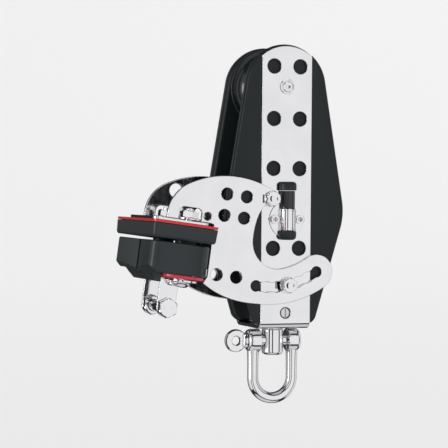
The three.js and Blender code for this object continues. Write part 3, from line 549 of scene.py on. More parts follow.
CHEEK_RISE = 6
CHEEK_TAPER = 16.5
CHEEK_CORNER = 8
cheek_low, cheek_high = extent("near_cheek")
CHEEK_HUB_RADIUS = cheek_high.x
CHEEK_TOP_RADIUS = cheek_high.z - UPPER.z
CHEEK_BOTTOM = cheek_low.z - HUB.z
CHEEK_OUTER = -cheek_low.y
strap_low, strap_high = extent("near_strap")
STRAP_HALF = strap_high.x
STRAP_OUTER = -strap_low.y
STRAP_THICKNESS = 2.5
STRAP_INNER = STRAP_OUTER - STRAP_THICKNESS
STRAP_TOP_RADIUS = strap_high.z - UPPER.z
HOLE_X = 9.9
HOLE_RADIUS = 5.25
HOLE_ROWS = (108.5, 71.4, 36.1, -20.6)
SET_SCREW_RADIUS = 3.6
SET_SCREW_Z = extent("near_set_screw")[0].z + SET_SCREW_RADIUS - HUB.z
GAP = 0.3


def cheek_outline():
    taper = math.asin((CHEEK_HUB_RADIUS - CHEEK_TOP_RADIUS) / (AXLE_SPACING - CHEEK_RISE)) / DEG
    corner_z = CHEEK_BOTTOM + CHEEK_CORNER
    reach = CHEEK_HUB_RADIUS - CHEEK_CORNER + (corner_z - CHEEK_RISE) * math.sin(CHEEK_TAPER * DEG)
    corner_x = reach / math.cos(CHEEK_TAPER * DEG)
    points = arc(corner_x, corner_z, CHEEK_CORNER, -90, -CHEEK_TAPER)
    points += arc(0, CHEEK_RISE, CHEEK_HUB_RADIUS, -CHEEK_TAPER, taper, 2)
    points += arc(0, AXLE_SPACING, CHEEK_TOP_RADIUS, taper, 180 - taper, 2)
    points += arc(0, CHEEK_RISE, CHEEK_HUB_RADIUS, 180 - taper, 180 + CHEEK_TAPER, 2)
    points += arc(-corner_x, corner_z, CHEEK_CORNER, 180 + CHEEK_TAPER, 270)
    return points


# Room for the strap's bend: how far up from the cheek's bottom, and how much deeper than the channel
BEND_ROOM = 3.2
BEND_DEPTH = 2.6
# The cheek's rim from its outer face to its inner face: an outer lip, a groove, a bead and a plain band
RIM = (
    (2.6, 0), (1.5, -0.15), (0.9, -0.5), (0.6, -1.0), (0.6, -1.7), (1.0, -2.1), (1.8, -2.4), (1.9, -3.0),
    (1.3, -3.5), (0.4, -3.8), (0.0, -4.4), (0.0, -5.4), (0.4, -5.9), (1.0, -6.2), (1.1, -6.8), (1.1, -7.7),
    (1.3, -8.2), (1.9, -8.7), (2.6, -8.9),
)


def cheek(side, word):
    piece = moulding(cheek_outline(), [(draw, CHEEK_OUTER + depth) for draw, depth in reversed(RIM)])
    floor = STRAP_INNER - GAP
    half = STRAP_HALF + GAP
    top, past_bottom, past_face = 200, -200, floor + 10
    channel = block_tool(-half, half, past_bottom, top, floor, past_face)
    bend = block_tool(-half, half, past_bottom, CHEEK_BOTTOM + BEND_ROOM, floor - BEND_DEPTH, past_face)
    cut(piece, channel, bend)
    finish_piece(piece, word + "_cheek", BLOCK @ FACING[side])


both_sides(cheek)

# -------- straps

BEND_INNER = 3.5
BEND_Y = STRAP_INNER - BEND_INNER
BEND_Z = CHEEK_BOTTOM - GAP + BEND_INNER
BEND_MIDDLE = BEND_INNER + STRAP_THICKNESS / 2
BEND_LENGTH = BEND_MIDDLE * math.pi / 2
BEND_STEPS = 12
STEM_RADIUS = 5


def strap_outline():
    """The strap laid flat, with its foot unrolled below the bend and notched for the swivel's stem."""
    foot_end = BEND_Z - BEND_LENGTH - BEND_Y + GAP
    shoulder = math.acos(STRAP_HALF / STRAP_TOP_RADIUS) / DEG
    notch = STEM_RADIUS + 0.6
    points = [(-STRAP_HALF, foot_end), *arc(0, foot_end, notch, 180, 0), (STRAP_HALF, foot_end)]
    points += arc(0, AXLE_SPACING, STRAP_TOP_RADIUS, shoulder, 180 - shoulder, 2)
    return points


def bent_foot(piece):
    """Rolls the foot of a flat strap in under the block. The strap is drawn facing +Z."""
    work = bmesh.new()
    work.from_mesh(piece.data)
    for i in range(BEND_STEPS + 1):
        level = BEND_Z - BEND_LENGTH * i / BEND_STEPS
        geometry = work.verts[:] + work.edges[:] + work.faces[:]
        bmesh.ops.bisect_plane(work, geom=geometry, plane_co=(0, level, 0), plane_no=(0, 1, 0))
    for vert in work.verts:
        run = BEND_Z - vert.co.y
        if run <= 0:
            continue
        radius = vert.co.z - BEND_Y
        if run < BEND_LENGTH:
            angle = run / BEND_MIDDLE
            vert.co.y = BEND_Z - radius * math.sin(angle)
            vert.co.z = BEND_Y + radius * math.cos(angle)
        else:
            vert.co.y = BEND_Z - radius
            vert.co.z = BEND_Y - (run - BEND_LENGTH)
    work.to_mesh(piece.data)
    work.free()
    return piece


def strap(side, word):
    holes = [circle(HOLE_RADIUS, x, z) for z in HOLE_ROWS for x in (-HOLE_X, HOLE_X)]
    holes.append(circle(SET_SCREW_RADIUS + 0.4, 0, SET_SCREW_Z))
    piece = bent_foot(plate(strap_outline(), holes, STRAP_INNER, STRAP_OUTER, 0.5, 3))
    finish_piece(piece, word + "_strap", BLOCK @ FACING[side])


both_sides(strap)

# -------- head, axles and the screws of the block

HEAD_FLATS = 10
HUB_SCREW_RADIUS = 3.2
HUB_SCREW_X = extent("near_hub_screw_right")[0].x + HUB_SCREW_RADIUS


def slotted_screw(side, word):
    """The slotted screw through a strap's foot into the head."""
    radius = extent(word + "_set_screw")[1].x
    inner, outer = reach_out(word + "_set_screw")
    piece = turned([
        (AXIS, inner), (radius - 0.5, inner), (radius, inner + 0.5), (radius, outer - 0.7),
        (radius - 0.25, outer - 0.2), (radius - 0.7, outer), (radius * 0.5, outer), (AXIS, outer),
    ])
    slot_half, slot_depth = 0.55, 1.1
    cut(piece, block_tool(-slot_half, slot_half, -5, 5, outer - slot_depth, outer + 1))
    finish_piece(piece, word + "_set_screw", BLOCK @ FACING[side] @ at(0, SET_SCREW_Z, 0))


def pivot_bolt(side, word):
    inner, outer = reach_out(word + "_pivot_bolt")
    piece = hex_head(HEAD_FLATS, outer - 4, outer, 5.5, outer - 5, 2.9, inner)
    finish_piece(piece, word + "_pivot_bolt", at(PIVOT.x, 0, PIVOT.z) @ FACING[side])


def axle_screw(side, word):
    """A button with a raised rim and a socket in its raised middle."""
    inner, outer = reach_out(word + "_axle_screw")
    radius = extent(word + "_axle_screw")[1].x
    shank = 2.4
    face = outer - 1.5
    profile = [
        (AXIS, inner), (shank, inner), (shank, face), (radius - 0.3, face), (radius, face + 0.3),
        (radius, face + 0.75), (radius - 0.3, face + 1.05), (radius - 1.1, face + 1.05),
        (radius - 1.4, face + 0.75), (radius - 1.45, face + 0.35), (radius - 1.75, face + 0.3),
        (radius - 1.95, face + 0.5), (radius - 2.0, outer - 0.35), (radius - 2.35, outer),
    ]
    finish_piece(turned(profile + hex_socket(outer)), word + "_axle_screw", TOP @ FACING[side])


def hub_screws(side, word):
    """Two small cap screws with a hexagon socket."""
    for node, x in ((word + "_hub_screw_left", -HUB_SCREW_X), (word + "_hub_screw_right", HUB_SCREW_X)):
        inner, outer = reach_out(node)
        radius, shank, seat = HUB_SCREW_RADIUS, 2, outer - 2.3
        profile = [
            (AXIS, inner), (shank, inner), (shank, seat), (radius - 0.2, seat), (radius, seat + 0.2),
            (radius, outer - 0.45), (radius - 0.15, outer - 0.15), (radius - 0.5, outer),
        ]
        piece = turned(profile + hex_socket(outer), sides=72)
        finish_piece(piece, node, BLOCK @ FACING[side] @ at(x, 0, 0))


both_sides(slotted_screw, pivot_bolt, axle_screw, hub_screws)


def head_block():
    low, high = extent("head_block")
    half = (high - low) / 2
    outline = rounded_box(half.x, half.y, 2)
    piece = plate(outline, [circle(STEM_RADIUS + GAP)], low.z, high.z, 0.5)
    bore = placed(drill(SET_SCREW_RADIUS + GAP, -20, 20), at(0, 0, HUB.z + SET_SCREW_Z) @ ACROSS)
    finish_piece(cut(piece, bore), "head_block", ROW)


def axles():
    """The upper sheave's axle, and the thick core of the hub with a slot for the switch's finger."""
    low, high = extent("upper_axle")
    finish_piece(rod(high.x, low.y, high.y, 0.5), "upper_axle", TOP @ ACROSS)
    low, high = extent("hub_core")
    slot = block_tool(-2.6, 2.6, -15, 10, low.y - 1, low.y + 5)
    finish_piece(cut(rod(high.x, low.y, high.y, 0.6), slot), "hub_core", BLOCK @ ACROSS)


head_block()
axles()

# -------- sheaves and bearings

GROOVE_HALF_WIDTH = 12.9
GROOVE_DEPTH = 10
GROOVE_FACETS = 8
GROOVE_STEPS = 30
UPPER_BORE = 9
RATCHET_BORE = 18


def sheave_profile(radius, half, bore, flatness):
    """A rounded rope groove between two rolled lips. The groove's floor is flattened into facets."""
    lip = [
        (bore, -half), (radius - 5.5, -half), (radius - 5.0, -half + 0.25), (radius - 1.2, -half + 0.25),
        (radius - 0.5, -half + 0.5), (radius - 0.05, -half + 1.2),
        (radius - 0.05, -GROOVE_HALF_WIDTH - 0.5), (radius - 0.3, -GROOVE_HALF_WIDTH + 0.02),
    ]
    groove = []
    for i in range(1, GROOVE_STEPS):
        angle = math.pi * i / GROOVE_STEPS
        depth = math.sin(angle)
        floor = radius - GROOVE_DEPTH * depth
        groove.append((floor, -GROOVE_HALF_WIDTH * math.cos(angle), GROOVE_FACETS, flatness * depth))
    return lip + groove + [(r, -y) for r, y in reversed(lip)]


def sheave(node, bore, flatness):
    low, high = extent(node)
    profile = sheave_profile((high.x - low.x) / 2, high.y, bore, flatness)
    return turned(profile, closed=True, sides=128)


finish_piece(sheave("upper_sheave", UPPER_BORE, 0), "upper_sheave", TOP @ ACROSS)

ratchet_wheel = sheave("ratchet_sheave", RATCHET_BORE, 0.5)
ring_low, ring_high = extent("ratchet_ring")
cut(ratchet_wheel, drill(ring_high.x + GAP, -20, ring_high.y + GAP))
finish_piece(ratchet_wheel, "ratchet_sheave", BLOCK @ ACROSS)


def roller_ring(node, place, rollers, thickness):
    """A cage of rollers: round bars side by side, held between two rims."""
    low, high = extent(node)
    outer = (high.x - low.x) / 2
    inner = outer - thickness
    rim = 1.5
    steps = rollers * 8
    outline = []
    for i in range(steps):
        phase = 2 * math.pi * rollers * i / steps
        radius = outer - 0.7 * (1 - abs(math.cos(phase / 2)) ** 0.7)
        outline.append(polar(radius, 360 * i / steps))
    body = plate(outline, [circle(inner)], low.y + rim - 0.1, high.y - rim + 0.1, 0.2, 1)
    for start in (low.y, high.y - rim):
        join(body, ring(inner, outer - 0.5, start, start + rim, 0.3))
    finish_piece(body, node, place @ ACROSS)


roller_ring("upper_bearing", TOP, 14, 3.9)
roller_ring("hub_bearing", BLOCK, 18, 3.4)


def ratchet_ring():
    """Inside teeth, each with a steep face and a ramp."""
    root, tip, count, first = 20.9, 17.4, 24, -81.5
    pitch = 360 / count
    teeth = []
    for i in range(count):
        steep = first + i * pitch
        teeth += [polar(tip, steep), polar(root, steep + pitch - 0.3)]
    piece = plate(circle(ring_high.x, sides=96), [teeth], ring_low.y, ring_high.y, 0.25)
    finish_piece(piece, "ratchet_ring", BLOCK @ ACROSS)


ratchet_ring()

# -------- ratchet switch

rod_low, rod_high = extent("switch_rod")
SWITCH_ROD_RADIUS = (rod_high.x - rod_low.x) / 2
SWITCH_KNOB_RADIUS = extent("switch_upper_knob")[1].x
SWITCH_Y = rod_low.y + SWITCH_ROD_RADIUS
ROD_BACK = -STRAP_OUTER - 0.4
KNOB_BACK = -STRAP_OUTER - 1.4
HUB_PLATE_LOW, HUB_PLATE_HIGH = 25.3, 26
HUB_PLATE_RADIUS = 13
SLEEVE_LOW, SLEEVE_HIGH = -7.9, 7.4


def flat_backed(profile, back):
    """A piece turned about the switch's axis, cut flat where it slides along the strap."""
    piece = placed(turned(profile), at(0, SWITCH_Y, 0))
    return cut(piece, block_tool(-20, 20, back, 20, -60, 60))


def hub_plate():
    holes = [circle(2.3, x) for x in (-HUB_SCREW_X, HUB_SCREW_X)]
    return plate(circle(HUB_PLATE_RADIUS, sides=96), holes, HUB_PLATE_LOW, HUB_PLATE_HIGH, 0.2)


def switch_housing():
    """A sleeve with a rolled band at each end, on the near hub plate."""
    bore = SWITCH_ROD_RADIUS + GAP
    radius = SWITCH_ROD_RADIUS + 0.9
    low, high = SLEEVE_LOW, SLEEVE_HIGH
    wall = [
        (bore, low + 0.2), (bore + 0.2, low), (radius - 0.35, low), (radius, low + 0.35),
        (radius, low + 1.2), (radius - 0.3, low + 1.5), (radius - 0.3, high - 1.5), (radius, high - 1.2),
        (radius, high - 0.35), (radius - 0.35, high), (bore + 0.2, high), (bore, high - 0.2),
    ]
    sleeve = placed(turned(wall, closed=True), at(0, SWITCH_Y, 0))
    cut(sleeve, block_tool(-20, 20, -HUB_PLATE_LOW, 20, -60, 60))
    disc = tidy(placed(hub_plate(), FACING[NEAR]))
    cut(disc, placed(drill(bore, -20, 20), at(0, SWITCH_Y, 0)))
    finish_piece(join(disc, sleeve), "switch_housing", BLOCK)


def switch():
    """The rod of the ratchet switch, with the finger that moves the pawl and a knob at each end."""
    bar_low, bar_high = rod_low.z - HUB.z, rod_high.z - HUB.z
    r = SWITCH_ROD_RADIUS
    bar = flat_backed([(AXIS, bar_low), (r - 0.3, bar_low), (r, bar_low + 0.3), (r, bar_high - 0.3),
                       (r - 0.3, bar_high), (AXIS, bar_high)], ROD_BACK)
    finger = block_tool(-1.8, 1.8, ROD_BACK - 1, rod_high.y, 1.4, 6)
    finish_piece(join(bar, finger), "switch_rod", BLOCK)
    for node, up in (("switch_upper_knob", 1), ("switch_lower_knob", -1)):
        inner, outer = (corner.z - HUB.z for corner in extent(node)[::up])
        r = SWITCH_KNOB_RADIUS
        profile = [
            (AXIS, inner), (r - 0.4, inner), (r, inner + 0.4 * up), (r, outer - 2.4 * up),
            (r - 0.35, outer - 1.3 * up), (r - 1.1, outer - 0.5 * up), (r - 2.2, outer - 0.1 * up),
            (r - 3.6, outer), (AXIS, outer),
        ]
        finish_piece(flat_backed(profile, KNOB_BACK), node, BLOCK)


def pawl():
    low, high = extent("ratchet_pawl")
    low.z, high.z = low.z - HUB.z, high.z - HUB.z
    outline = [(high.x, low.z), (high.x, high.z), (low.x, high.z), (low.x, low.z + 3)]
    finish_piece(plate(outline, [], -high.y, -low.y, 0.2), "ratchet_pawl", BLOCK @ FACING[NEAR])


switch_housing()
finish_piece(hub_plate(), "far_hub_plate", BLOCK @ FACING[FAR])
switch()
pawl()

# -------- swivel and shackle

SWIVEL_NUT_FLATS = 15
SHACKLE_ROD = 4
EYE_RADIUS = 8.3
EYE_FACE_RADIUS = 6.4
PIN_DISC_RADIUS = 8.2
PIN_RADIUS = 4
BOW_RADIUS = 15
EYE_OUTER_X = extent("shackle_bow")[1].x
EYE_INNER_X = 10.6


def swivel():
    """The post with its stem up through the head, its washer and its nut."""
    low, high = extent("swivel_post")
    washer_low, washer_high = extent("swivel_washer")
    nut_low, nut_high = extent("swivel_nut")
    radius = high.x
    neck = washer_low.z - GAP
    post = turned([
        (AXIS, low.z), (radius - 3.2, low.z), (radius - 1.6, low.z + 0.35), (radius - 0.5, low.z + 1.2),
        (radius, low.z + 2.6), (radius, neck - 1.6), (radius - 0.35, neck - 0.5), (radius - 1.0, neck),
        (STEM_RADIUS, neck), (STEM_RADIUS, high.z - 0.6), (STEM_RADIUS - 0.6, high.z), (AXIS, high.z),
    ])
    cut(post, placed(drill(PIN_RADIUS + GAP, -12, 12), at(0, 0, PIN.z) @ TO_X))
    finish_piece(post, "swivel_post", ROW)
    washer = ring(STEM_RADIUS + GAP, washer_high.x, washer_low.z, washer_high.z, 0.25)
    finish_piece(washer, "swivel_washer", ROW)
    nut = hex_nut(SWIVEL_NUT_FLATS, nut_low.z, nut_high.z, STEM_RADIUS + GAP, 0)
    finish_piece(nut, "swivel_nut", ROW)


def shackle_bow():
    """A rod bent round the crown, thicker towards its two eyes."""
    crown = BOW_RADIUS - SHACKLE_ROD
    leg_top, steps = PIN.z - 1, 12
    half = [(-BOW_RADIUS, 0, leg_top - (leg_top - crown) * i / steps) for i in range(steps)]
    path = half + [(x, 0, z) for x, z in arc(0, crown, BOW_RADIUS, 180, 360, 3)]
    path += [(-x, y, z) for x, y, z in reversed(half)]
    swell_start, swell = crown + 8, 1.1
    rises = [max(0, (z - swell_start) / (PIN.z - swell_start)) for x, y, z in path]
    bow = wire(path, [SHACKLE_ROD + swell * rise ** 2 for rise in rises])
    for turn in (Matrix.Rotation(-90 * DEG, 4, "Y"), TO_X):
        profile = softened([
            (AXIS, EYE_INNER_X), (EYE_RADIUS, EYE_INNER_X), (EYE_RADIUS, EYE_OUTER_X - 2.6),
            (EYE_RADIUS - 0.7, EYE_OUTER_X - 0.8), (EYE_FACE_RADIUS, EYE_OUTER_X), (AXIS, EYE_OUTER_X),
        ], 0.9, 5)
        join(bow, placed(turned(profile), at(0, 0, PIN.z) @ turn))
    cut(bow, placed(drill(PIN_RADIUS + GAP, -30, 30), at(0, 0, PIN.z) @ TO_X))
    finish_piece(bow, "shackle_bow", ROW)


def shackle_pin():
    """A screwed pin, its collar, and a flat disc with a hole as its head."""
    low, high = extent("shackle_pin")
    disc_x = low.x + PIN_DISC_RADIUS
    rim = PIN_DISC_RADIUS
    head = [(3.2, -1.5), (3.7, -2), (rim - 0.9, -2), (rim - 0.25, -1.5), (rim, -0.7)]
    head += [(radius, -height) for radius, height in reversed(head)]
    disc = tidy(placed(turned(head, closed=True), at(disc_x, 0, PIN.z) @ ACROSS))
    seat = -EYE_OUTER_X - GAP
    collar = 5.6
    shank = turned([
        (AXIS, seat - 2.4), (collar - 1.2, seat - 2.4), (collar - 0.4, seat - 2.1), (collar, seat - 1.5),
        (collar, seat - 0.3), (collar - 0.3, seat), (PIN_RADIUS, seat), (PIN_RADIUS, high.x - 0.6),
        (PIN_RADIUS - 0.6, high.x), (AXIS, high.x),
    ])
    shank = tidy(placed(shank, at(0, 0, PIN.z) @ TO_X))
    neck_start, neck_end, steps = disc_x + 4.2, seat - 1.6, 6
    neck = []
    for i in range(steps + 1):
        t = i / steps
        x = neck_start + (neck_end - neck_start) * t
        half, thick = 5.9 - 0.7 * t, 1.95 + 1.5 * t ** 2
        neck.append([(x, y, z + PIN.z) for y, z in rounded_box(thick, half, min(1.4, thick - 0.2))])
    finish_piece(join(disc, shank, lofted(neck)), "shackle_pin", ROW)


swivel()
shackle_bow()
shackle_pin()

# -------- cam arm

SLOT_RADIUS = 62.6
SLOT_MIDDLE = 19.3
SLOT_HALF_ANGLE = 22.1
SLOT_NOTCHES = 7
NOTCH_RADIUS = 3.9
SLOT_HALF_WIDTH = 3.15
SLOT_FIRST = -90 + SLOT_MIDDLE - SLOT_HALF_ANGLE
SLOT_LAST = SLOT_FIRST + 2 * SLOT_HALF_ANGLE
CLEAT_X = -66.3
ARM_FOOT_Z = -23.3
NUT_ARCH = 8.3
ARCH_CORNER = 3.5
ARCH_TOP = -14.3
ARM_EDGE_X = -40.2
PIVOT_HOLE = 3.3
arm_low, arm_high = extent("near_arm_plate")
ARM_OUTER, ARM_INNER = -arm_low.y, -arm_high.y


def arm_outline():
    """The hooked outline of an arm plate: its eye is at the pivot and its tail carries the slot."""
    eye = 5.8
    back_x, back_z = -26.8, -57.6
    back_radius = math.hypot(back_x, back_z) + eye
    back_start = math.atan2(-back_z, -back_x) / DEG
    nose_x, nose_z = -48.8, -20.6
    nose_radius = back_radius - math.hypot(nose_x - back_x, nose_z - back_z)
    nose_start = math.atan2(nose_z - back_z, nose_x - back_x) / DEG
    nose_end = 180 - math.asin((ARM_FOOT_Z - nose_z) / nose_radius) / DEG
    tail = 12.4
    tail_angle = -90 + SLOT_MIDDLE + SLOT_HALF_ANGLE
    throat_x, throat_z = 9.4, -29.5
    throat_radius = SLOT_RADIUS - tail - math.hypot(throat_x, throat_z)
    throat_start = math.atan2(throat_z, throat_x) / DEG
    eye_start = -125.9
    nut_x = CLEAT_X + CAM_X
    heel = -90.4

    points = arc(0, 0, eye, eye_start, back_start)
    points += arc(back_x, back_z, back_radius, back_start, nose_start, 1.5)
    points += arc(nose_x, nose_z, nose_radius, nose_start, nose_end, 3)
    arch = NUT_ARCH - ARCH_CORNER
    points.append((nut_x - NUT_ARCH, ARM_FOOT_Z))
    points += arc(nut_x - arch, ARCH_TOP - ARCH_CORNER, ARCH_CORNER, 180, 90, 8)
    points += arc(nut_x + arch, ARCH_TOP - ARCH_CORNER, ARCH_CORNER, 90, 0, 8)
    points.append((nut_x + NUT_ARCH, ARM_FOOT_Z))
    edge, turn = ARM_EDGE_X, 1.8
    points += curved((edge - turn, ARM_FOOT_Z), (edge, ARM_FOOT_Z), (edge, ARM_FOOT_Z - turn), 6)
    step = (edge - 2.4, -65.4)
    points += [(edge, -60.5), step]
    points += curved(step, (-25, -76.5), polar(SLOT_RADIUS + tail, heel), 24)
    points += arc(0, 0, SLOT_RADIUS + tail, heel, tail_angle, 1.5)
    points += arc(*polar(SLOT_RADIUS, tail_angle), tail, tail_angle, tail_angle + 180)
    points += arc(0, 0, SLOT_RADIUS - tail, tail_angle, throat_start, 1.5)
    points += arc(throat_x, throat_z, throat_radius, throat_start, -180, 3)
    throat_edge = throat_x - throat_radius
    points += curved((throat_edge, throat_z), (throat_edge - 0.2, -12), polar(eye, eye_start), 12)
    return points


def slot_outline():
    """The adjusting slot: a curved band with a round notch at each setting."""
    pitch = (SLOT_LAST - SLOT_FIRST) / (SLOT_NOTCHES - 1)
    steps = 12 * (SLOT_NOTCHES - 1)
    sides = {1: [], -1: []}
    for i in range(1, steps):
        angle = SLOT_FIRST + (SLOT_LAST - SLOT_FIRST) * i / steps
        nearest = SLOT_FIRST + round((angle - SLOT_FIRST) / pitch) * pitch
        away = SLOT_RADIUS * math.sin((angle - nearest) * DEG)
        bulge = math.sqrt(NOTCH_RADIUS ** 2 - away ** 2) if abs(away) < NOTCH_RADIUS else 0
        for side, points in sides.items():
            reach = SLOT_RADIUS * math.cos((angle - nearest) * DEG) + side * bulge if bulge else SLOT_RADIUS
            edge = SLOT_RADIUS + side * SLOT_HALF_WIDTH
            points.append(polar(max(reach, edge) if side > 0 else min(reach, edge), angle))
    first = arc(*polar(SLOT_RADIUS, SLOT_FIRST), NOTCH_RADIUS, SLOT_FIRST + 180, SLOT_FIRST + 360, 10)
    last = arc(*polar(SLOT_RADIUS, SLOT_LAST), NOTCH_RADIUS, SLOT_LAST, SLOT_LAST + 180, 10)
    return first + sides[1] + last + sides[-1][::-1]


def arm_plate(side, word):
    holes = [circle(4.4, x, z) for x in (-33.4, -18.6) for z in (-1.3, -16.4, -58.3)]
    holes += [circle(2.9, -45.6, -18.8), circle(PIVOT_HOLE)]
    if side == FAR:
        holes.append(circle(5, -53.6, -1.9))
    holes.append(slot_outline())
    piece = plate(arm_outline(), holes, ARM_INNER, ARM_OUTER, 0.5, 3)
    finish_piece(piece, word + "_arm_plate", ARM @ FACING[side])


both_sides(arm_plate)


def adjusting_bolt():
    """The bolt through both slots, with its washers, its nut and the spacer between the straps."""
    low, high = extent("adjusting_bolt")
    centre = (low + high) / 2
    place = at(centre.x, 0, centre.z)
    shank, bore = 2.8, 3.1
    bolt = hex_head(HEAD_FLATS, -low.y - 3.6, -low.y, 5.2, -low.y - 4.2, shank, -high.y)
    finish_piece(bolt, "adjusting_bolt", place @ FACING[NEAR])
    for side, word in SIDES:
        node = "adjusting_" + word + "_washer"
        finish_piece(ring(bore, 6, *reach_out(node), 0.25), node, place @ FACING[side])
    nut = hex_nut(HEAD_FLATS, *reach_out("adjusting_nut"), bore)
    finish_piece(nut, "adjusting_nut", place @ FACING[FAR])
    low, high = extent("lower_spacer")
    finish_piece(ring(bore, 5.6, low.y, high.y, 0.4), "lower_spacer", place @ ACROSS)


adjusting_bolt()

# -------- cam cleat

HALF_LENGTH = 46
HALF_WIDTH = 23.5
BASE_X = 0.6
BASE_TOP = -0.8
BASE_BOTTOM = -10.8
PLATE_LOW, PLATE_HIGH = -0.5, 1.3
PLATFORM_LOW, PLATFORM_HIGH = 1.6, 3.6
CAM_TOP = -13
CAM_BOTTOM = -34.3
CAM_FOOT = -41
CAM_RING_RADIUS = 15.4
CAM_RING_BOTTOM = -37.2
CAM_TEETH = 8
CAM_BORE = 8
SPRING_POCKET_RADIUS = 11.4
SPRING_POCKET_DEPTH = 5.4
SPRING_RADIUS = 9.7
SPRING_WIRE = 0.55
SPRING_TURNS = 2.4
BOSS_RADIUS = 7.6
BOSS_BOTTOM = -36.2
SCREW_RADIUS = 3
SCREW_HOLE = 3.4
SCREW_PLACES = [(CAM_X, side * CAM_Y) for side, word in SIDES]
CLEAT_OUTLINE = rounded_box(HALF_WIDTH, HALF_LENGTH, 3, BASE_X, 0)
PLATFORM_OUTLINE = rounded_box(20.6, 30, 4, 2.2, 0)


def drafted_base():
    """The base, narrower at the bottom, with a hollow boss for each cam to turn on."""
    top, bottom = BASE_TOP, BASE_BOTTOM
    base = moulding(CLEAT_OUTLINE, [
        (0.35, top), (0.1, top - 0.1), (0, top - 0.35), (0.5, bottom + 1.5), (0.65, bottom + 1.2),
        (1.5, bottom + 0.1), (1.8, bottom),
    ])
    for x, y in SCREW_PLACES:
        join(base, placed(rod(BOSS_RADIUS, BOSS_BOTTOM, bottom + 1), at(x, y, 0)))
        cut(base, drill(SCREW_HOLE, -40, 1, x, y))
    finish_piece(base, "cleat_base", CLEAT)


def cleat_plate(node, outline, low, high, edge):
    holes = [circle(SCREW_HOLE, x, y) for x, y in SCREW_PLACES]
    finish_piece(plate(outline, holes, low, high, edge), node, CLEAT)


cleat_plate("cleat_platform", PLATFORM_OUTLINE, PLATFORM_LOW, PLATFORM_HIGH, 0.35)
cleat_plate("cleat_top_plate", CLEAT_OUTLINE, PLATE_LOW, PLATE_HIGH, 0.3)
drafted_base()

# Corners of a cam from the tip of its jaw round its back to where its teeth begin, and how far each is
# rounded: x, and the distance from the middle of the cleat
CAM_CORNERS = (
    (-17, 2, 0), (-19.6, 20, 0), (-21.8, 43.4, 7), (0, 46, 0), (17, 42.4, 4), (23.9, 33, 4),
    (23.9, 24, 0), (20, 13.5, 6), (6, 1.3, 0),
)


def rounded(corners, steps=8):
    """A closed outline with each corner (x, y, distance) rounded off over its distance."""
    points = []
    for i, (x, y, reach) in enumerate(corners):
        corner = Vector((x, y))
        before = (Vector(corners[i - 1][:2]) - corner).normalized()
        after = (Vector(corners[(i + 1) % len(corners)][:2]) - corner).normalized()
        if reach:
            start, end = corner + before * reach, corner + after * reach
            points += curved(tuple(start), tuple(corner), tuple(end), steps)
        else:
            points.append((x, y))
    return points


def tooth_gullets():
    """Saw-toothed gullets across the face of a cam, as one tool."""
    start, end = (Vector((x, -away)) for x, away, reach in (CAM_CORNERS[-1], CAM_CORNERS[0]))
    along = (end - start).normalized()
    inward = Vector((-along.y, along.x))
    pitch = (end - start).length / CAM_TEETH
    clear, depth = inward * 0.6, inward * 1.3
    tool = None
    for i in range(CAM_TEETH):
        first = start + along * (pitch * i)
        deepest = first + along * (0.75 * pitch) + depth
        last = first + along * (0.97 * pitch)
        shape = (first - clear, first, deepest, last, last - clear)
        piece = lofted([[(x, y, z) for x, y in shape] for z in (CAM_BOTTOM - 12, CAM_TOP + 1)])
        tool = join(tool, piece) if tool else piece
    return tool


def cam_foot():
    """The end of the jaw, which reaches further down beside the ring under the cam."""
    foot = moulding([(-17, -2), (-20.5, -30), (-8, -30), (-5.4, -16), (-5.4, -2)], [
        (1.0, CAM_FOOT), (0.5, CAM_FOOT + 0.15), (0.15, CAM_FOOT + 0.5), (0, CAM_FOOT + 1),
        (0, CAM_BOTTOM + 1.6),
    ])
    return cut(foot, drill(CAM_RING_RADIUS + 1, CAM_FOOT - 1, CAM_BOTTOM, CAM_X, -CAM_Y))


def jaw_curve():
    """Cuts the lower end of the jaw to a curve that sweeps in under it."""
    section = [
        (-30, CAM_FOOT - 1), (-9, CAM_FOOT - 1), (-9.6, CAM_FOOT + 0.4), (-13, CAM_FOOT + 3.5),
        (-17.2, CAM_FOOT + 7.6), (-20.4, CAM_FOOT + 10.2), (-22.5, CAM_FOOT + 13), (-30, CAM_FOOT + 13),
    ]
    return lofted([[(x, y, z) for x, z in section] for y in (-60, 10)])


def cam(side, word):
    """A near cam is drawn, and mirrored for the far side."""
    piece = moulding([(x, -away) for x, away in rounded(CAM_CORNERS)], [
        (1.1, CAM_BOTTOM), (0.6, CAM_BOTTOM + 0.12), (0.2, CAM_BOTTOM + 0.5), (0, CAM_BOTTOM + 1.1),
        (0, CAM_TOP - 1.0), (0.2, CAM_TOP - 0.4), (0.6, CAM_TOP - 0.1), (0.9, CAM_TOP),
    ])
    join(piece, cam_foot())
    past_top = CAM_TOP + 1
    bore = drill(CAM_BORE, CAM_BOTTOM - 1, past_top, CAM_X, -CAM_Y)
    pocket = drill(SPRING_POCKET_RADIUS, CAM_TOP - SPRING_POCKET_DEPTH, past_top, CAM_X, -CAM_Y)
    cut(piece, tooth_gullets(), bore, pocket, jaw_curve())
    flip = Matrix.Scale(-side, 4, (0, 1, 0))
    finish_piece(piece, word + "_cam", CLEAT @ flip, 40)


def cam_spring(side, word):
    steps, low, rise = 96, CAM_TOP - 4.2, 3.4
    points = []
    for i in range(steps + 1):
        t = i / steps
        points.append((*polar(SPRING_RADIUS, 360 * SPRING_TURNS * t), low + rise * t))
    piece = wire(points, [SPRING_WIRE] * len(points), 4)
    finish_piece(piece, word + "_cam_spring", CLEAT @ at(CAM_X, side * CAM_Y, 0))


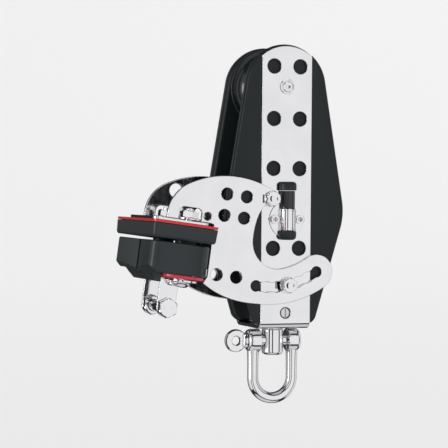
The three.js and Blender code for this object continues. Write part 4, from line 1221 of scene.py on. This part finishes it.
def cam_ring(side, word):
    """The coloured ring under a cam, with a raised band round its edge."""
    low, high, radius, bore = CAM_RING_BOTTOM, CAM_BOTTOM - GAP, CAM_RING_RADIUS, CAM_BORE
    piece = turned([
        (bore, low + 0.2), (bore + 0.2, low), (radius - 1.2, low), (radius - 0.9, low + 0.2),
        (radius - 0.75, low + 0.45), (radius - 0.1, low + 0.6), (radius, low + 0.8),
        (radius, high - 0.35), (radius - 0.35, high), (bore + 0.2, high), (bore, high - 0.2),
    ], closed=True)
    finish_piece(piece, word + "_cam_ring", CLEAT @ at(CAM_X, side * CAM_Y, 0))


def cam_screw(side, word):
    """A domed socket screw up through guard, ring, cam, base and platform, and its flanged nut."""
    head, end, shank = GUARD_LOW - GAP, 12.2, SCREW_RADIUS
    profile = [
        (AXIS, end), (shank - 0.4, end), (shank, end - 0.4), (shank, head), (6.8, head),
        (7, head - 0.25), (6.8, head - 0.9), (6.2, head - 1.9), (5.1, head - 2.9), (3.9, head - 3.45),
        (2.9, head - 3.6), (2.31, head - 3.3, *HEX), (2.31, head - 2, *HEX), (AXIS, head - 1.7),
    ]
    place = CLEAT @ at(CAM_X, side * CAM_Y, 0)
    finish_piece(turned(profile), word + "_cam_screw", place)
    face, bore = PLATFORM_HIGH + GAP, SCREW_RADIUS + GAP
    nut = hex_nut(11.6, face + 1.3, face + 6.5, bore)
    join(nut, ring(bore, 7.8, face, face + 1.6, 0.5))
    finish_piece(nut, word + "_cam_nut", place)


GUARD_X = 2.4
GUARD_BOLT_Z = -58.6
GUARD_HALF = 6.8
GUARD_LOW, GUARD_HIGH = -39.3, -37.6
LEG_INNER, LEG_OUTER = 16.4, 18.1
EAR_RADIUS = 10
BOLT_RADIUS = 4
BOLT_FLATS = 12.6

both_sides(cam, cam_spring, cam_ring, cam_screw)


def rope_guard():
    """A bent strip under both cams, with a leg folded down beside each."""
    strip = plate(rounded_box(GUARD_HALF, LEG_OUTER, 0.5, GUARD_X, 0), [], GUARD_LOW, GUARD_HIGH, 0.3)
    for x, y in SCREW_PLACES:
        join(strip, placed(ring(SCREW_HOLE, EAR_RADIUS, GUARD_LOW, GUARD_HIGH, 0.4), at(x + 1.6, y, 0)))
    leg = [(GUARD_X + half, GUARD_HIGH - 0.5) for half in (GUARD_HALF, -GUARD_HALF)]
    leg += arc(GUARD_X, GUARD_BOLT_Z, GUARD_HALF, 180, 360)
    for side, word in SIDES:
        flat = plate(leg, [circle(BOLT_RADIUS + GAP, GUARD_X, GUARD_BOLT_Z)], LEG_INNER, LEG_OUTER, 0.35)
        join(strip, tidy(placed(flat, FACING[side])))
    for x, y in SCREW_PLACES:
        cut(strip, drill(SCREW_HOLE, -45, -30, x, y))
    finish_piece(strip, "rope_guard", CLEAT)


rope_guard()
guard_place = CLEAT @ at(GUARD_X, 0, GUARD_BOLT_Z)
bolt = hex_head(BOLT_FLATS, 19.4, 24.4, 6.4, 18.4, BOLT_RADIUS, -20.6)
finish_piece(bolt, "guard_bolt", guard_place @ FACING[NEAR])
finish_piece(hex_nut(BOLT_FLATS, 10.1, 16.1, BOLT_RADIUS + GAP), "guard_nut", guard_place @ FACING[FAR])

# -------- the scene around it

FOCAL_LENGTH = 142.07
CAMERA_AZIMUTH = -19.82 * DEG
CAMERA_ELEVATION = 1.12 * DEG
CAMERA_ROLL = 0.48 * DEG
CAMERA_DISTANCE = 1.267
CAMERA_AIM = Vector((-0.038, 0, HUB.z * MM - 0.0039))


def camera():
    data = bpy.data.cameras.new("camera")
    data.lens = FOCAL_LENGTH
    data.sensor_width = 36
    data.clip_end = 20
    holder = bpy.data.objects.new("camera", data)
    scene.collection.objects.link(holder)
    level = math.cos(CAMERA_ELEVATION)
    back = Vector((math.sin(CAMERA_AZIMUTH) * level, -math.cos(CAMERA_AZIMUTH) * level,
                   math.sin(CAMERA_ELEVATION)))
    turn = (-back).to_track_quat("-Z", "Y").to_matrix().to_4x4()
    holder.matrix_world = Matrix.Translation(CAMERA_AIM + back * CAMERA_DISTANCE) @ turn \
        @ Matrix.Rotation(CAMERA_ROLL, 4, "Z")
    scene.camera = holder


camera()

STUDIO_RADIUS = 3.4
SWEEP_RADIUS = 1.2
WALL_TOP = 3.2
FLOOR_Z = -0.06


def studio_floor():
    """A pale round floor that sweeps up into a wall, well outside every view."""
    sweep = arc(STUDIO_RADIUS - SWEEP_RADIUS, FLOOR_Z + SWEEP_RADIUS, SWEEP_RADIUS, -90, 0, 5.625)
    profile = [(0.001, FLOOR_Z), *sweep, (STUDIO_RADIUS, WALL_TOP)]
    sides = 96
    verts = [(x, y, height) for radius, height in profile for x, y in circle(radius, sides=sides)]
    faces = []
    for r in range(len(profile) - 1):
        for i in range(sides):
            k = (i + 1) % sides
            faces.append((r * sides + i, r * sides + k, (r + 1) * sides + k, (r + 1) * sides + i))
    floor = new_object("studio_floor", verts, faces)
    floor.data.polygons.foreach_set("use_smooth", [True] * len(floor.data.polygons))
    material, tree, shader = node_material("studio_paper", (0.25, 0.25, 0.25), 0, 0.9, Specular_IOR_Level=0)
    shader.inputs["Emission Color"].default_value = (1, 1, 1, 1)
    shader.inputs["Emission Strength"].default_value = 0.67
    floor.data.materials.append(material)
    floor.visible_glossy = False
    floor.visible_shadow = False


studio_floor()

# A tent of soft panels far away all round: azimuth of the middle, from the near side towards +X, and its
# half-width, elevation and its half-height, the softness of their edges, all in degrees, and their strength
PANELS = (
    (18, 32, -2, 40, 2, 1.08),
    (-37, 11, -2, 40, 2, 1.12),
    (-86, 24, 0, 42, 2, 1.12),
    (-134, 20, 0, 36, 5, 0.55),
    (-88, 6, 3, 13, 3, 12),
    (90, 26, 0, 42, 2, 0.95),
    (135, 10, 10, 40, 4, 0.55),
    (0, 130, 76, 14, 3, 1.2),
    (0, 200, -74, 16, 3, 0.8),
)
SURROUND = 0.03
BACKDROP = (0.846, 0.846, 0.846)


def studio_light():
    """The world: pale to the camera, and dark with soft panels to everything that is lit or mirrored."""
    world = bpy.data.worlds.new("studio")
    scene.world = world
    world.use_nodes = True
    tree = world.node_tree
    tree.nodes.clear()

    def math_node(operation, *terms):
        node = add_node(tree, "Math")
        node.operation = operation
        for socket, value in zip(node.inputs, terms):
            if isinstance(value, (int, float)):
                socket.default_value = value
            else:
                tree.links.new(value, socket)
        return node.outputs[0]

    def window(angle, middle, half, soft):
        """1 inside a window of angles, in degrees, and 0 outside it."""
        away = math_node("ABSOLUTE", math_node("WRAP", math_node("SUBTRACT", angle, middle), 180, -180))
        edge = add_node(tree, "MapRange", [("Value", away)], From_Min=half + soft, From_Max=half - soft)
        edge.interpolation_type = "SMOOTHSTEP"
        return edge.outputs["Result"]

    direction = add_node(tree, "TexCoord").outputs["Generated"]
    x, y, z = add_node(tree, "SeparateXYZ", [("Vector", direction)]).outputs
    azimuth = math_node("MULTIPLY", math_node("ARCTAN2", x, math_node("MULTIPLY", y, -1)), 1 / DEG)
    elevation = math_node("MULTIPLY", math_node("ARCSINE", z), 1 / DEG)
    total = SURROUND
    for middle, half, height, half_height, soft, strength in PANELS:
        panel = math_node("MULTIPLY", window(azimuth, middle, half, soft),
                          window(elevation, height, half_height, soft))
        total = math_node("ADD", math_node("MULTIPLY", panel, strength), total)

    lit = add_node(tree, "Background", [("Strength", total)]).outputs[0]
    seen = add_node(tree, "Background", Color=(*BACKDROP, 1)).outputs[0]
    to_camera = add_node(tree, "LightPath").outputs["Is Camera Ray"]
    mix = add_node(tree, "MixShader", [("Fac", to_camera), (1, lit), (2, seen)])
    add_node(tree, "OutputWorld", [("Surface", mix.outputs[0])])


studio_light()
scene.view_settings.view_transform = "Standard"
